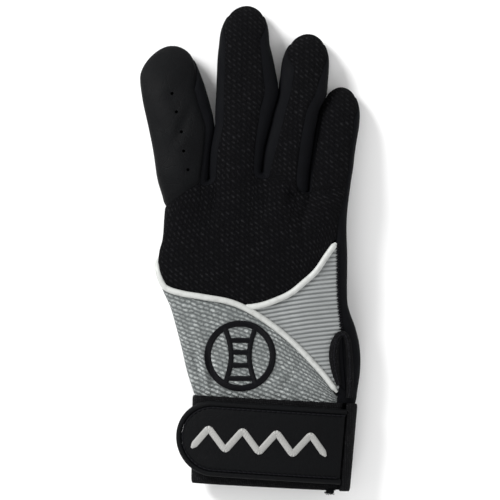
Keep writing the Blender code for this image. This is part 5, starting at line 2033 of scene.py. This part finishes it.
def leather_look():
    """Synthetic leather: fine pebbled grain with painted shade in the crevices between the pebbles, a few
    long creases, and patches of shine.
    """
    tree, shader = new_look("leather_black", 0.075)
    place = stir(tree, object_place(tree), *LEATHER_STIR)
    pebble = fit(tree, cracks(tree, place, LEATHER_GRAIN), 0.0, 0.22, 0.0, 1.0)
    crease = cracks(tree, stir(tree, place, *CREASE_STIR), CREASE_SIZE)
    fold = fit(tree, crease, 0.0, 0.035, 0.0, 1.0)
    patches = cloud(tree, place, 14.0, 3.0)
    fine = cloud(tree, place, 0.4, 2.0)
    worn = fit(tree, patches, 0.35, 0.7, 0.0, 1.0)
    base = mix(tree, worn, LEATHER_DEEP, LEATHER_PALE)
    # Painted shade: darker in the crevices between the pebbles, where the bump is low
    colour = mix(tree, times(tree, minus(tree, 1.0, pebble), 0.5), base, LEATHER_CREVICE_SHADE)
    roughness = plus(tree, fit_cloud(tree, patches, 0.48, 0.60), times(tree, fine, 0.10))
    height = plus(tree, times(tree, pebble, 0.5), times(tree, fine, 0.35))
    height = plus(tree, height, times(tree, fold, 0.5))
    dress(tree, shader, colour, roughness, height, LEATHER_DEPTH)


def knit_look():
    """Smooth fine knit, with its rows of loops just showing as a painted highlight on their raised middles.
    """
    tree, shader = new_look("knit_black", 0.06)
    place = stir(tree, cloth_place(tree), *KNIT_STIR)
    across, along, own = cells(tree, place, KNIT_PITCH, KNIT_PITCH * 0.8)
    loop = spot(tree, across, along, 1.0, 0.8, 0.0)
    wide = cloud(tree, place, 7.0, 3.0)
    shade = fit_cloud(tree, wide, 0.0, 1.0)
    base = mix(tree, shade, KNIT_DEEP, KNIT_PALE)
    # Painted highlight on each loop's raised middle, stronger on some loops than on others
    painted_highlight = times(tree, loop, fit(tree, own, 0.0, 1.0, 0.2, 0.7))
    colour = mix(tree, painted_highlight, base, KNIT_LOOP)
    roughness = fit_cloud(tree, wide, 0.62, 0.80)
    dress(tree, shader, colour, roughness, loop, KNIT_DEPTH)


def elastic_look():
    """Ribbed elastic: paler on the ribs as a painted highlight, darker in the grooves as painted shade, and
    the knots of the rubber's cover along them.
    """
    tree, shader = new_look("elastic_pale", 0.25, 0.10)
    place = cloth_place(tree)
    relief = add_node(tree, "Attribute", attribute_name="relief").outputs["Fac"]
    across, along, _ = cells(tree, place, KNOT_PITCH, RIB_PITCH * MILLIMETRES / 2)
    knot = spot(tree, across, along, 0.9, 1.0, 0.0)
    fuzz = cloud(tree, place, 0.3, 3.0)
    # Painted light: the colour follows the height of the ribs, knots and fuzz, darker where they are low
    rise = plus(tree, relief, times(tree, minus(tree, knot, 0.5), 0.30))
    rise = plus(tree, rise, times(tree, minus(tree, fuzz, 0.5), 0.35))
    light = fit(tree, rise, 0.05, 0.75, 0.0, 1.0)
    patches = fit_cloud(tree, cloud(tree, place, 12.0), 0.82, 1.0)
    colour = mix(tree, times(tree, light, patches), RIB_DEEP, RIB_PALE)
    roughness = fit_cloud(tree, fuzz, 0.65, 0.9)
    height = plus(tree, knot, times(tree, fuzz, 0.5))
    dress(tree, shader, colour, roughness, height, KNOT_DEPTH)


def piping_look():
    """Smooth pale covered cord, a little marked from use."""
    tree, shader = new_look("piping_white", 0.40, 0.0, 0.08)
    place = cloth_place(tree)
    marks = cloud(tree, place, 3.0, 4.0)
    fine = cloud(tree, place, 0.25, 2.0)
    colour = mix(tree, fit(tree, marks, 0.45, 0.75, 0.0, 1.0), PIPING_PALE, PIPING_MARK)
    roughness = fit_cloud(tree, marks, 0.38, 0.55)
    dress(tree, shader, colour, roughness, plus(tree, fine, marks), PIPING_DEPTH)


def webbing_look():
    """Woven elastic: slanting rows of short yarns, hairy, painted lighter than the dark ground as a
    highlight on their raised tops.
    """
    tree, shader = new_look("webbing_black", 0.06)
    place = stir(tree, cloth_place(tree, WEAVE_TURN), *WEAVE_STIR)
    across, along, own = cells(tree, place, WEAVE_PITCH, WEAVE_ROW, WEAVE_STAGGER)
    yarn = spot(tree, across, along, 0.95, 0.9, 0.0)
    fuzz = cloud(tree, place, 0.25, 3.0)
    patches = fit_cloud(tree, cloud(tree, place, 8.0), 0.5, 1.0)
    # Painted highlight on each yarn's raised top, varied at random from yarn to yarn and patch to patch
    painted_highlight = times(tree, times(tree, yarn, fit(tree, own, 0.0, 1.0, 0.25, 1.0)), patches)
    colour = mix(tree, painted_highlight, WEBBING_DEEP, WEBBING_PALE)
    roughness = fit_cloud(tree, fuzz, 0.68, 0.92)
    height = plus(tree, yarn, times(tree, fuzz, 0.4))
    dress(tree, shader, colour, roughness, height, WEAVE_DEPTH)


def thread_look(look):
    """Embroidery thread: twisted strands, painted lighter on top as a highlight and darker between two
    threads as shade.
    """
    tree, shader = new_look(look.name, look.specular, look.sheen)
    place = object_place(tree)
    relief = add_node(tree, "Attribute", attribute_name="relief").outputs["Fac"]
    strand = cloud(tree, place, 0.22, 3.0)
    # Painted light: threads that stand higher are lighter, and the lower ones darker as shade
    light = plus(tree, times(tree, relief, 0.6), times(tree, strand, 0.5))
    colour = mix(tree, fit(tree, light, 0.15, 0.9, 0.0, 1.0), look.deep, look.pale)
    roughness = fit_cloud(tree, strand, 0.42, 0.62)
    dress(tree, shader, colour, roughness, strand, THREAD_DEPTH)


def looks():
    for look in MESH_LOOKS:
        mesh_look(look)
    leather_look()
    knit_look()
    elastic_look()
    piping_look()
    webbing_look()
    for look in THREAD_LOOKS:
        thread_look(look)


# The studio


def floor():
    """A pale sheet of paper just under the glove."""
    mesh = bmesh.new()
    half = FLOOR_SIDE / 2
    corners = [(-half, -half), (half, -half), (half, half), (-half, half)]
    mesh.faces.new([mesh.verts.new((x, y, -FLOOR_DROP)) for x, y in corners])
    data = bpy.data.meshes.new("floor")
    mesh.to_mesh(data)
    mesh.free()
    paper = bpy.data.materials.new("floor_paper")
    paper.use_nodes = True
    shader = paper.node_tree.nodes["Principled BSDF"]
    shader.inputs["Base Color"].default_value = (*FLOOR_PAPER, 1.0)
    shader.inputs["Roughness"].default_value = 0.9
    shader.inputs["Specular IOR Level"].default_value = 0.1
    data.materials.append(paper)
    made = bpy.data.objects.new("floor", data)
    bpy.context.scene.collection.objects.link(made)
    made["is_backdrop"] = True


def add_lamp(lamp):
    """A round lamp that faces the middle of the floor."""
    data = bpy.data.lights.new(lamp.name, "AREA")
    data.shape = "DISK"
    data.size = lamp.size
    data.energy = lamp.power
    made = bpy.data.objects.new(lamp.name, data)
    made.location = (lamp.x, lamp.y, lamp.z)
    made.rotation_euler = (-made.location).to_track_quat("-Z", "Y").to_euler()
    bpy.context.scene.collection.objects.link(made)


def studio():
    """The floor, the lamps, and the camera straight above the photograph's frame."""
    floor()
    for lamp in LAMPS:
        add_lamp(lamp)
    world = bpy.data.worlds.new("studio")
    world.use_nodes = True
    world.node_tree.nodes["Background"].inputs["Color"].default_value = (1.0, 1.0, 1.0, 1.0)
    world.node_tree.nodes["Background"].inputs["Strength"].default_value = WORLD_LIGHT
    bpy.context.scene.world = world
    bpy.context.scene.view_settings.view_transform = "Standard"
    data = bpy.data.cameras.new("camera")
    data.sensor_width = CAMERA_SENSOR * MILLIMETRES
    data.lens = data.sensor_width * (CAMERA_HEIGHT - HAND_THICKNESS / 2) / FRAME_SIDE
    data.clip_end = 10.0
    camera = bpy.data.objects.new("camera", data)
    camera.location = (FRAME_X, FRAME_Y, CAMERA_HEIGHT)
    bpy.context.scene.collection.objects.link(camera)
    bpy.context.scene.camera = camera


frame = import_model()
cad_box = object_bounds()
for thing in [o for o in bpy.data.objects if o.type in ("CAMERA", "LIGHT") or o.name == "Cube"]:
    bpy.data.objects.remove(thing)

ROOT = {(face, 0.0): root_row(face, 0.0) for face in (1, -1)}
ROOT[1, MESH_WALL] = root_row(1, MESH_WALL)
ROOT[-1, LEATHER_WALL] = root_row(-1, LEATHER_WALL)
ROOT_ANGLE = {face: root_angles(face, ROOT[face, 0.0]) for face in (1, -1)}
SHIFT = glove_shift()
LOOKS = {}

looks()
back_mesh()
index_pad()
for first_finger, second_finger in zip(FINGERS, FINGERS[1:]):
    fourchette(first_finger, second_finger)
side_strip()
palm()
thumb()
cuff_panel()
rib_panel()
pipings()
slit_binding()
slit_facing()
wrist_band()
strap_tab()
strap_rim()
hook_patch()
cuff_emblem()
strap_motif()
strap_stitches()
seam_stitches()
binding_stitches()
frayed_corner()
studio()

visual_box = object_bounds()
boxes = {"cad": cad_box, "visual": visual_box}
{name: [list(corner) for corner in box] for name, box in boxes.items()}
